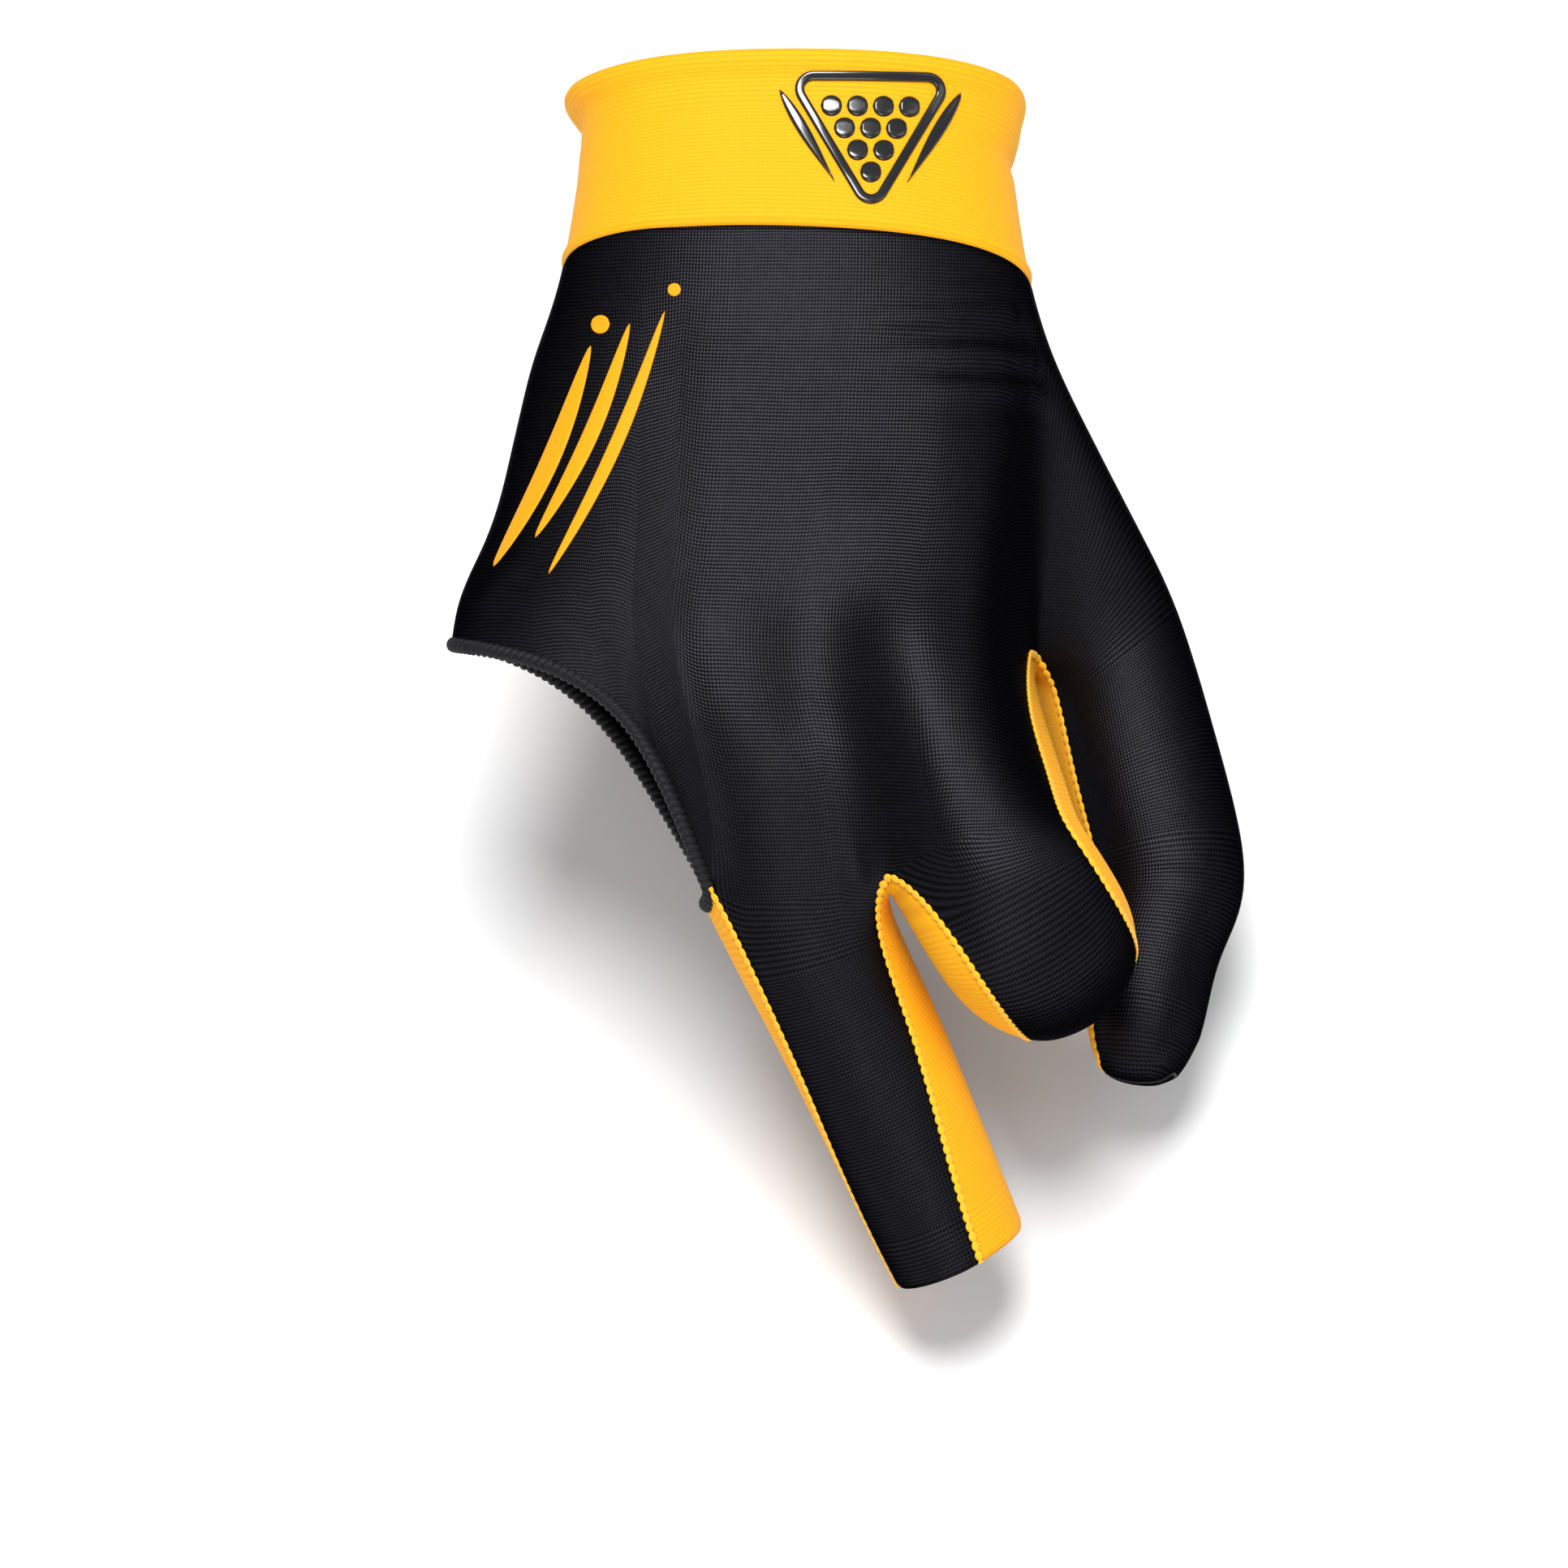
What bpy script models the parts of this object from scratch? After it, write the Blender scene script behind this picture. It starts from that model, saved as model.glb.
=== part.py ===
# Three-finger billiard bridge glove for a left hand, in the form it takes on a bridging hand.
# Back panel, palm panel, wristband, three side strips and the edging of the open side.
# Blender 4.5. Lengths in the script are millimetres and are turned to metres at the end.
#
# Hand frame used by the tables: x points to the thumb side, y up the forearm,
# z out of the back of the hand. LEAN then tips the hand onto its fingertips.

import math

import bpy
import numpy as np

METRES_PER_MM = 0.001

# Driving sizes, mm
WRIST_WIDTH = 67.6          # across the glove at the wristband's lower seam
WRIST_THICKNESS = 43.0      # back to palm at the same seam
BAND_HEIGHT = 28.0          # wristband, rim to seam, along the forearm
SEAM_DROP = 1.2             # how far the lower seam dips on the thumb side and rises on the other
BAND_FLARE = -0.9           # how far the rim stands out over the seam's width, each side
BAND_WAIST = 2.6            # how far the band is drawn in between rim and seam, each side
HAND_LENGTH = 87.0          # lower seam to the crotch of index and middle finger
HAND_BREADTH = 84.0         # across the knuckles
HAND_THICKNESS = 30.0       # back to palm
KNUCKLE_RISE = 38.0         # how far the knuckles stand out in front of the wrist
MIDDLE_LENGTH = 60.0        # crotch to the cut end of the middle finger
MIDDLE_WIDTH = 22.6
INDEX_LENGTH = 62.0         # crotch to tip along the curl
INDEX_WIDTH = 29.0          # at the bent middle joint
THUMB_LENGTH = 88.0         # web to tip
THUMB_WIDTH = 24.0
WALL = 1.0                  # stretch knit with its turned seam allowance
BAND_WALL = 1.8             # the band is folded double
SEAM_GAP = 0.3              # between neighbouring panels
HEM_RADIUS = 1.0            # overlocked edging of the open side

# Angles, degrees
LEAN = 30.0                 # forearm plane above the table
WRIST_TILT = 16.0           # forearm against the hand frame
SEAM_TILT = 4.0             # how much more the wristband's lower seam tilts

SIDE_ANGLE = 14.0           # from the middle of a side to its seams, at the wrist
BACK_ANGLE = 90.0           # middle of the back panel round a finger
PALM_ANGLE = 270.0          # middle of the palm panel round a finger

# Ratios and counts
SUBDIVISION_LEVEL = 1
WRIST_SQUARENESS_POWER = 2.3    # 2 is an ellipse
HAND_SQUARENESS_POWER = 2.5
CAGE_SWELL_RATIO = 1.045        # a cage ring stands this much outside the smooth surface
PALM_ROLL_SHARE = 0.5           # the palm's seams turn this share of the back's round a finger
NEARLY_STRAIGHT_COSINE = 0.5    # over this, two rim edges count as one line
MITRE_FLOOR_RATIO = 0.15        # keeps the corner shift short where a seam turns back on itself
SAME_DISTANCE_RATIO = 1e-9      # two rim distances closer than this count as equal
ACROSS_LIMIT_SHARE = 0.999      # keeps the crown of the hand off its side

OPEN_COLUMNS = 4            # columns over the ring and little finger
MIDDLE_COLUMNS = 4
INDEX_COLUMNS = 4
COLUMNS = OPEN_COLUMNS + MIDDLE_COLUMNS + INDEX_COLUMNS
HAND_ROWS = 8
THUMB_TOP_ROW = 1
THUMB_WEB_ROW = 5

PANELS = ("wristband", "back_panel", "palm_panel", "index_middle_strip",
          "thumb_index_strip", "middle_side_strip")
FINISH = {
    "wristband": ((0.98, 0.50, 0.012), 0.75),
    "back_panel": ((0.012, 0.012, 0.016), 0.62),
    "palm_panel": ((0.014, 0.014, 0.017), 0.70),
    "index_middle_strip": ((0.98, 0.52, 0.015), 0.75),
    "thumb_index_strip": ((0.98, 0.52, 0.014), 0.75),
    "middle_side_strip": ((0.98, 0.51, 0.015), 0.75),
    "opening_hem": ((0.006, 0.006, 0.007), 0.80),
}
BAND, BACK, PALM, INDEX_MIDDLE, THUMB_INDEX, MIDDLE_SIDE = range(len(PANELS))

# Wristband: along is a share of BAND_HEIGHT from the rim. A ring stands out over the seam's
# width by flare shares of BAND_FLARE, less waist shares of BAND_WAIST.
BAND_COLUMNS = ("along", "flare", "waist")
BAND_ROWS = ((0.00, 1.0, 0.0), (0.10, 0.4, 0.0), (0.30, 0.0, 1.0), (0.65, 0.0, 0.55))

# Hand: along is a share of HAND_LENGTH from the seam. left and right are shares of
# HAND_BREADTH, rise of KNUCKLE_RISE, back and palm of HAND_THICKNESS.
HAND_COLUMNS = ("along", "left", "right", "rise", "back", "palm")
HAND = (
    (0.00, -0.401, 0.404, 0.20, 0.73, 0.69),
    (0.13, -0.455, 0.423, 0.30, 0.72, 0.72),
    (0.28, -0.490, 0.420, 0.43, 0.73, 0.65),
    (0.42, -0.521, 0.410, 0.59, 0.70, 0.58),
    (0.54, -0.586, 0.402, 0.74, 0.66, 0.53),
    (0.62, -0.592, 0.396, 0.82, 0.65, 0.47),
    (0.74, -0.554, 0.400, 0.92, 0.62, 0.40),
    (0.88, -0.512, 0.452, 0.99, 0.55, 0.35),
    (1.00, -0.476, 0.476, 1.00, 0.52, 0.33),
)

# Open side: where the edging runs, from the little finger's side to the middle finger.
# across is a share of HAND_BREADTH, along of HAND_LENGTH.
EDGE_COLUMNS = ("across", "along")
BACK_EDGE = ((-0.560, 0.612), (-0.428, 0.633), (-0.306, 0.696), (-0.222, 0.800))
PALM_EDGE = ((-0.548, 0.606), (-0.422, 0.650), (-0.318, 0.735), (-0.238, 0.850))
# How far the columns bow towards the thumb on their way, shares of half the breadth
COLUMN_BOW = (0.00, 0.00, 0.01, 0.04, 0.12, 0.10, 0.07, 0.04, 0.02, 0.00, 0.00, 0.00, 0.00)
BOW_PEAK_RATIO = 0.148      # largest value of share * share * (1 - share)

# Thumb side of the hand, row by row: the back line, the middle and the palm line.
# across is a share of HAND_BREADTH, along of HAND_LENGTH, out of KNUCKLE_RISE.
SIDE_COLUMNS = ("across", "along", "out")
THUMB_SIDE_BACK = (
    (0.424, 0.125, 0.52), (0.416, 0.262, 0.42), (0.408, 0.390, 0.34), (0.402, 0.513, 0.29),
    (0.404, 0.628, 0.25), (0.388, 0.722, 0.80), (0.430, 0.832, 1.03),
)
THUMB_SIDE_MIDDLE = (
    (0.446, 0.133, 0.21), (0.0, 0.0, 0.0), (0.0, 0.0, 0.0), (0.0, 0.0, 0.0),
    (0.410, 0.666, 0.10), (0.440, 0.752, 0.50), (0.464, 0.835, 0.82),
)
THUMB_SIDE_PALM = (
    (0.372, 0.160, -0.14), (0.340, 0.306, -0.13), (0.328, 0.432, -0.03), (0.333, 0.547, 0.08),
    (0.386, 0.648, -0.11), (0.396, 0.728, 0.22), (0.420, 0.828, 0.53),
)

# Fingers: x, y and z are shares of the finger's length from its first ring's centre.
# wide and thick are shares of the finger's width. turn is the ring's angle in the plane
# of the hand, curl its bend towards the palm, roll turns the seams round the finger,
# and open is half the angle that the back panel covers.
# A ring's points run: 0 thumb-side middle, 1 to 5 back, 6 far middle, 7 to 11 palm.
FINGER_COLUMNS = ("x", "y", "z", "wide", "thick", "turn", "curl", "roll", "open")
MIDDLE = (
    (-0.016, 0.000, 0.000, 1.17, 0.93, 7.0, 8.0, 0.0, 50.0),
    (0.032, -0.120, -0.020, 1.07, 0.92, 18.0, 10.0, 3.0, 47.0),
    (0.148, -0.340, -0.070, 1.05, 0.92, 26.0, 11.0, 13.0, 46.0),
    (0.247, -0.560, -0.115, 1.01, 0.92, 25.5, 11.0, 24.0, 45.0),
    (0.335, -0.750, -0.150, 0.95, 0.88, 25.5, 11.0, 34.0, 45.0),
    (0.382, -0.850, -0.168, 0.91, 0.84, 26.0, 11.0, 38.0, 45.0),
)
INDEX = (
    (0.000, 0.000, 0.000, 1.00, 0.80, 15.0, -7.0, -5.0, 50.0),
    (0.055, -0.095, 0.020, 1.00, 0.78, 28.0, 0.0, -8.0, 49.0),
    (0.108, -0.180, 0.010, 1.00, 0.76, 31.0, 28.0, -9.0, 49.0),
    (0.150, -0.240, -0.060, 0.97, 0.74, 31.0, 58.0, -9.0, 49.0),
    (0.168, -0.268, -0.165, 0.88, 0.72, 31.0, 88.0, -9.0, 48.0),
    (0.170, -0.270, -0.270, 0.80, 0.68, 31.0, 92.0, -5.0, 47.0),
    (0.165, -0.255, -0.360, 0.74, 0.64, 31.0, 112.0, 0.0, 44.0),
    (0.150, -0.205, -0.470, 0.70, 0.60, 31.0, 130.0, 0.0, 40.0),
    (0.140, -0.165, -0.540, 0.66, 0.56, 31.0, 130.0, 0.0, 36.0),
    (0.132, -0.138, -0.590, 0.52, 0.46, 31.0, 130.0, 0.0, 32.0),
)
THUMB = (
    (0.010, 0.000, 0.000, 1.06, 1.00, 34.0, 4.0, 0.0, 50.0),
    (0.058, -0.180, 0.040, 1.02, 0.96, 21.0, -10.0, 0.0, 50.0),
    (0.102, -0.335, 0.080, 1.00, 0.92, 10.0, -12.0, 0.0, 50.0),
    (0.107, -0.412, 0.098, 0.94, 0.88, -4.0, -14.0, 0.0, 50.0),
    (0.080, -0.485, 0.122, 0.80, 0.80, -10.0, -16.0, 0.0, 48.0),
    (0.066, -0.585, 0.150, 0.77, 0.75, -10.0, -16.0, 0.0, 44.0),
    (0.056, -0.648, 0.165, 0.70, 0.68, -10.0, -16.0, 0.0, 38.0),
    (0.052, -0.688, 0.173, 0.55, 0.53, -10.0, -16.0, 0.0, 32.0),
)
MIDDLE_ROOT = (0.007, 1.012, 1.0)      # shares of HAND_BREADTH, HAND_LENGTH, KNUCKLE_RISE
INDEX_ROOT = (0.300, 0.935, 1.27)
THUMB_ROOT = (0.530, 0.617, -0.05)
THUMB_BASE_ROWS = 2                    # rings between the hand and the thumb's first ring

# Closed tips: how far they run on past the last ring, a share of the finger's length,
# and what share of that the three points of the closing line take
TIP_REACH_SHARE = {"index": 0.05, "thumb": 0.035}
TIP_LINE_SHARES = (0.7, 1.0, 0.7)


def table(names, rows):
    """Columns of a table as arrays, by name."""
    values = np.array(rows, float)
    return {name: values[:, i] for i, name in enumerate(names)}


def squircle(angle, squareness):
    """Cosine and sine of an angle in degrees, flattened towards a rounded box."""
    c = np.cos(np.radians(angle))
    s = np.sin(np.radians(angle))
    power = 2.0 / squareness
    return np.sign(c) * np.abs(c) ** power, np.sign(s) * np.abs(s) ** power


def ring_angles():
    """Angles of the columns round the hand: back line, thumb side, palm line, little finger side."""
    back = np.linspace(180.0 - SIDE_ANGLE, SIDE_ANGLE, COLUMNS + 1)
    return np.concatenate((back, [0.0], -back[::-1], [180.0]))


def wrist_ring(width, thickness, along_forearm):
    """A ring round the wrist as an array of points: square to the forearm at the rim."""
    tilt = math.radians(WRIST_TILT)
    share = along_forearm / BAND_HEIGHT
    ring_tilt = tilt + math.radians(SEAM_TILT) * share
    c, s = squircle(ring_angles(), WRIST_SQUARENESS_POWER)
    x = 0.5 * width * c
    height = 0.5 * thickness * s
    y = -along_forearm * math.cos(tilt) + height * math.sin(ring_tilt) - SEAM_DROP * share * c
    z = along_forearm * math.sin(tilt) + height * math.cos(ring_tilt)
    return np.column_stack((x, y, z))


def band_rings():
    """Wristband from the rim to the row above the seam."""
    band = table(BAND_COLUMNS, BAND_ROWS)
    out = band["flare"] * BAND_FLARE - band["waist"] * BAND_WAIST
    return [wrist_ring(WRIST_WIDTH + 2 * o, WRIST_THICKNESS + 2 * o, share * BAND_HEIGHT)
            for share, o in zip(band["along"], out)]


def seam_y():
    """Height of the wrist seam's middle."""
    return -BAND_HEIGHT * math.cos(math.radians(WRIST_TILT))


def hand_at(y):
    """Hand table read at heights y: left edge, right edge, side, back crest and palm crest."""
    hand = table(HAND_COLUMNS, HAND)
    along = (seam_y() - y) / HAND_LENGTH
    value = {name: np.interp(along, hand["along"], hand[name]) for name in HAND_COLUMNS[1:]}
    left = value["left"] * HAND_BREADTH
    right = value["right"] * HAND_BREADTH
    side = value["rise"] * KNUCKLE_RISE
    return left, right, side, value["back"] * HAND_THICKNESS, value["palm"] * HAND_THICKNESS


def hand_height(x, y, facing):
    """Height of the back (facing 1) or the palm (facing -1) over a point of the hand's plane."""
    left, right, side, back, palm = hand_at(y)
    across = (x - 0.5 * (left + right)) / (0.5 * (right - left))
    across = np.clip(across, -ACROSS_LIMIT_SHARE, ACROSS_LIMIT_SHARE)
    crown = (1.0 - np.abs(across) ** HAND_SQUARENESS_POWER) ** (1.0 / HAND_SQUARENESS_POWER)
    return side + facing * crown * (back if facing > 0 else palm)


def edge_points(rows, facing):
    """Points of the open side's edge on the back or the palm."""
    edge = table(EDGE_COLUMNS, rows)
    x = edge["across"] * HAND_BREADTH
    y = seam_y() - edge["along"] * HAND_LENGTH
    return np.column_stack((x, y, hand_height(x, y, facing)))


def side_points(rows):
    """Points of one line down the thumb side."""
    side = table(SIDE_COLUMNS, rows)
    x = side["across"] * HAND_BREADTH
    y = seam_y() - side["along"] * HAND_LENGTH
    return np.column_stack((x, y, side["out"] * KNUCKLE_RISE))


def column_points(start, end, facing, bow):
    """One column of the hand from the wrist seam to its end, lying on the back or the palm."""
    share = np.linspace(0.0, 1.0, HAND_ROWS + 1)[1:-1]
    y = start[1] + (end[1] - start[1]) * share
    ends = np.array((start, end))
    left, right, _, _, _ = hand_at(ends[:, 1])
    across = (ends[:, 0] - 0.5 * (left + right)) / (0.5 * (right - left))
    left, right, _, _, _ = hand_at(y)
    x = 0.5 * (left + right) + 0.5 * (right - left) * (
        across[0] + (across[1] - across[0]) * share + bow * share ** 2 * (1.0 - share) / BOW_PEAK_RATIO)
    off = ends[:, 2] - hand_height(ends[:, 0], ends[:, 1], facing)
    z = hand_height(x, y, facing) + off[0] * (1.0 - share) ** 2 + off[1] * share ** 2
    return np.column_stack((x, y, z))


def finger_rings(rows, root, length, width):
    """Rings of a finger, 12 points each: thumb-side middle, over the back, round under the palm."""
    t = table(FINGER_COLUMNS, rows)
    turn = np.radians(t["turn"])[:, None]
    curl = np.radians(t["curl"])[:, None]
    zero = np.zeros_like(turn)
    lateral = np.hstack((np.cos(turn), np.sin(turn), zero))
    forward = np.hstack((np.sin(turn), -np.cos(turn), zero))
    outward = np.array((0.0, 0.0, 1.0)) * np.cos(curl) + forward * np.sin(curl)
    centre = root + length * np.column_stack((t["x"], t["y"], t["z"]))
    steps = np.linspace(-1.0, 1.0, MIDDLE_COLUMNS + 1)
    roll, half = t["roll"][:, None], t["open"][:, None]
    back = BACK_ANGLE + roll + half * steps
    palm = PALM_ANGLE + PALM_ROLL_SHARE * roll + half * steps
    near = 0.5 * (back[:, :1] + palm[:, -1:] - 360.0)
    far = 0.5 * (back[:, -1:] + palm[:, :1])
    angle = np.radians(np.hstack((near, back, far, palm)))
    wide = 0.5 * width * CAGE_SWELL_RATIO * t["wide"][:, None, None]
    thick = 0.5 * width * CAGE_SWELL_RATIO * t["thick"][:, None, None]
    return (centre[:, None, :]
            + wide * np.cos(angle)[:, :, None] * lateral[:, None, :]
            + thick * np.sin(angle)[:, :, None] * outward[:, None, :])


def hand_root(shares):
    """Middle of a finger's first ring."""
    return np.array((shares[0] * HAND_BREADTH, seam_y() - shares[1] * HAND_LENGTH, shares[2] * KNUCKLE_RISE))


class Cage:
    """Coarse cage of the whole glove. Each face says which panel it belongs to."""

    def __init__(self):
        self.points = []
        self.faces = []
        self.panels = []

    def add(self, points):
        first = len(self.points)
        self.points.extend(np.asarray(points, float).reshape(-1, 3))
        return list(range(first, len(self.points)))

    def face(self, corners, panel):
        self.faces.append(corners)
        self.panels.append(panel)

    def bridge(self, upper, lower, panels):
        """Faces between two closed rings of the same length, seen from outside the upper one first."""
        count = len(upper)
        for i in range(count):
            j = (i + 1) % count
            self.face((upper[i], lower[i], lower[j], upper[j]), panels[i])

    def cap(self, ring, reach_point):
        """Closes a fingertip: a seam line from side to side with quads over and under it."""
        p = np.array([self.points[i] for i in ring])
        middle = 0.5 * (p[[2, 3, 4]] + p[[10, 9, 8]])
        c2, c3, c4 = self.add(middle + np.array(TIP_LINE_SHARES)[:, None] * reach_point)
        r = ring
        for corners in ((r[0], r[1], r[2], c2), (c2, r[2], r[3], c3),
                        (c3, r[3], r[4], c4), (c4, r[4], r[5], r[6])):
            self.face(corners, BACK)
        for corners in ((r[0], c2, r[10], r[11]), (c2, c3, r[9], r[10]),
                        (c3, c4, r[8], r[9]), (c4, r[6], r[7], r[8])):
            self.face(corners, PALM)


def build_cage():
    """Cage of the glove and its panels."""
    cage = Cage()
    back_side = [BACK] * COLUMNS
    palm_side = [PALM] * COLUMNS

    # Wristband and the wrist seam
    rings = [cage.add(ring) for ring in band_rings()]
    seam = cage.add(wrist_ring(WRIST_WIDTH, WRIST_THICKNESS, BAND_HEIGHT))
    rings.append(seam)
    for upper, lower in zip(rings, rings[1:]):
        cage.bridge(upper, lower, [BAND] * len(upper))

    # First rings of the fingers close the hand's last row
    middle = finger_rings(MIDDLE, hand_root(MIDDLE_ROOT), MIDDLE_LENGTH, MIDDLE_WIDTH)
    index = finger_rings(INDEX, hand_root(INDEX_ROOT), INDEX_LENGTH, INDEX_WIDTH)
    thumb = finger_rings(THUMB, hand_root(THUMB_ROOT), THUMB_LENGTH, THUMB_WIDTH)
    crotch = 0.5 * (middle[0][[1, 0, 11]] + index[0][[5, 6, 7]])
    back_end = np.vstack((edge_points(BACK_EDGE, 1), middle[0][[5, 4, 3, 2]], crotch[:1],
                          index[0][[4, 3, 2, 1]]))
    palm_end = np.vstack((edge_points(PALM_EDGE, -1), middle[0][[7, 8, 9, 10]], crotch[2:],
                          index[0][[8, 9, 10, 11]]))

    # Columns of the back and the palm between seam and end
    points = np.array([cage.points[i] for i in seam])
    back_start = points[:COLUMNS + 1]
    palm_start = points[COLUMNS + 2:-1][::-1]
    back = np.array([column_points(a, b, 1, w) for a, b, w in zip(back_start, back_end, COLUMN_BOW)])
    palm = np.array([column_points(a, b, -1, w) for a, b, w in zip(palm_start, palm_end, COLUMN_BOW)])
    back[-1] = side_points(THUMB_SIDE_BACK)
    palm[-1] = side_points(THUMB_SIDE_PALM)
    thumb_middle = side_points(THUMB_SIDE_MIDDLE)
    outer_middle = 0.5 * (back[0] + palm[0])
    outer_middle[:, 0] = hand_at(outer_middle[:, 1])[0]

    row_ids = [seam]
    for r in range(HAND_ROWS - 1):
        row = np.vstack((back[:, r], thumb_middle[r], palm[::-1, r], outer_middle[r]))
        row_ids.append(cage.add(row))
    last_side = 0.5 * (back_end[0] + palm_end[0])
    last_side[0] = hand_at(last_side[1:2])[0][0]
    last = cage.add(np.vstack((back_end, index[0][0], palm_end[::-1], last_side)))
    web_middle = cage.add(crotch[1])[0]
    corner_middle = cage.add(middle[0][6])[0]
    row_ids.append(last)

    # Hand faces. Columns run back, thumb side, palm, little finger side
    near = COLUMNS + 1
    for r, (upper, lower) in enumerate(zip(row_ids, row_ids[1:])):
        count = len(upper)
        for i in range(count):
            j = (i + 1) % count
            on_thumb_side = i in (COLUMNS, near)
            if on_thumb_side and THUMB_TOP_ROW <= r < THUMB_WEB_ROW:
                continue
            if i < COLUMNS:
                panel = BACK
            elif on_thumb_side:
                panel = BACK if r < THUMB_TOP_ROW else THUMB_INDEX
            elif i < 2 * COLUMNS + 2:
                panel = PALM
            else:
                panel = BACK
            cage.face((upper[i], lower[i], lower[j], upper[j]), panel)

    # Fingers
    finger_panels = {
        "middle": [INDEX_MIDDLE] + [BACK] * 4 + [MIDDLE_SIDE] * 2 + [PALM] * 4 + [INDEX_MIDDLE],
        "index": [THUMB_INDEX] + [BACK] * 4 + [INDEX_MIDDLE] * 2 + [PALM] * 4 + [THUMB_INDEX],
        "thumb": [BACK] + [BACK] * 4 + [THUMB_INDEX] * 2 + [PALM] * 4 + [BACK],
    }

    def back_id(c):
        return last[c]

    def palm_id(c):
        return last[2 * COLUMNS + 2 - c]

    m0, m1 = OPEN_COLUMNS, OPEN_COLUMNS + MIDDLE_COLUMNS
    middle_ring = [web_middle, *[back_id(c) for c in range(m1, m0 - 1, -1)], corner_middle,
                   *[palm_id(c) for c in range(m0, m1 + 1)]]
    index_ring = [last[near], *[back_id(c) for c in range(COLUMNS, m1 - 1, -1)], web_middle,
                  *[palm_id(c) for c in range(m1, COLUMNS + 1)]]
    top, web = THUMB_TOP_ROW, THUMB_WEB_ROW
    thumb_ring = [row_ids[top][near], *[row_ids[r][COLUMNS] for r in range(top, web + 1)],
                  row_ids[web][near],
                  *[row_ids[r][near + 1] for r in range(web, top - 1, -1)]]

    base = np.array([cage.points[i] for i in thumb_ring])
    between = [base + (thumb[0] - base) * k / (THUMB_BASE_ROWS + 1) for k in range(1, THUMB_BASE_ROWS + 1)]
    fingers = (
        ("middle", middle_ring, list(middle[1:])),
        ("index", index_ring, list(index[1:])),
        ("thumb", thumb_ring, between + list(thumb)),
    )
    for name, ring, more in fingers:
        for points in more:
            lower = cage.add(points)
            cage.bridge(lower, ring, finger_panels[name])
            ring = lower
        if name in TIP_REACH_SHARE:
            ahead = more[-1].mean(axis=0) - more[-2].mean(axis=0)
            length = {"index": INDEX_LENGTH, "thumb": THUMB_LENGTH}[name]
            cage.cap(ring, ahead / np.linalg.norm(ahead) * TIP_REACH_SHARE[name] * length)
    return cage


def smooth_surface(cage):
    """Catmull-Clark surface of the cage: points, normals, faces and the panel of each face."""
    mesh = bpy.data.meshes.new("glove_cage")
    mesh.from_pydata([tuple(p) for p in cage.points], [], cage.faces)
    for number in range(len(PANELS)):
        mesh.materials.append(bpy.data.materials.new(f"cage_{number}"))
    mesh.polygons.foreach_set("material_index", cage.panels)
    guide = bpy.data.objects.new("glove_cage", mesh)
    bpy.context.scene.collection.objects.link(guide)
    modifier = guide.modifiers.new("Subdivision", "SUBSURF")
    modifier.levels = SUBDIVISION_LEVEL
    modifier.render_levels = SUBDIVISION_LEVEL
    evaluated = guide.evaluated_get(bpy.context.evaluated_depsgraph_get())
    made = bpy.data.meshes.new_from_object(evaluated)
    points = np.array([v.co for v in made.vertices])
    normals = np.array([v.normal for v in made.vertices])
    faces = [tuple(p.vertices) for p in made.polygons]
    panels = [p.material_index for p in made.polygons]
    bpy.data.objects.remove(guide)
    bpy.data.meshes.remove(made)
    for material in list(bpy.data.materials):
        bpy.data.materials.remove(material)
    return points, normals, faces, panels


def directed_edges(faces):
    """Edges of the faces in the order the faces run."""
    return [(a, b) for face in faces for a, b in zip(face, face[1:] + face[:1])]


def pulled_back(points, normals, faces, distance):
    """Points with the rim of these faces drawn in along the surface, by a distance for each rim edge."""
    edges = directed_edges(faces)
    known = set(edges)
    rim = [(a, b) for a, b in edges if (b, a) not in known]
    sideways = {}
    for a, b in rim:
        along = points[b] - points[a]
        for v in (a, b):
            inward = np.cross(normals[v], along)
            inward /= np.linalg.norm(inward)
            sideways.setdefault(v, []).append((inward, distance(a, b)))
    moved = points.copy()
    for v, pulls in sideways.items():
        if len(pulls) != 2:
            raise ValueError(f"rim meets itself at point {v}")
        moved[v] += corner_shift(*pulls[0], *pulls[1])
    return moved, rim


def corner_shift(n0, d0, n1, d1):
    """Shift that clears two rim edges, each by its own distance along its own inward direction."""
    c = float(np.dot(n0, n1))
    if c > NEARLY_STRAIGHT_COSINE or abs(d0 - d1) < SAME_DISTANCE_RATIO:
        return max(d0, d1) * (n0 + n1) / max(1.0 + c, MITRE_FLOOR_RATIO)
    return ((d0 - c * d1) * n0 + (d1 - c * d0) * n1) / (1.0 - c * c)


def wall_solid(points, normals, faces, wall, distance):
    """Closed wall under a patch of the surface: outside, inside and the rim between them."""
    outer, rim = pulled_back(points, normals, faces, distance)
    used = sorted({v for face in faces for v in face})
    number = {v: i for i, v in enumerate(used)}
    count = len(used)
    inner = outer[used] - wall * normals[used]
    solid_points = np.vstack((outer[used], inner))
    solid_faces = [tuple(number[v] for v in face) for face in faces]
    solid_faces += [tuple(number[v] + count for v in face[::-1]) for face in faces]
    solid_faces += [(number[b], number[a], number[a] + count, number[b] + count) for a, b in rim]
    return solid_points, solid_faces


def to_part(points):
    """Hand frame in millimetres to the part's frame in metres: leaned onto the fingertips."""
    lean = math.radians(LEAN)
    x, y, z = np.asarray(points, float).T
    return METRES_PER_MM * np.column_stack((x, y * math.cos(lean) - z * math.sin(lean),
                                 y * math.sin(lean) + z * math.cos(lean)))


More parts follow.
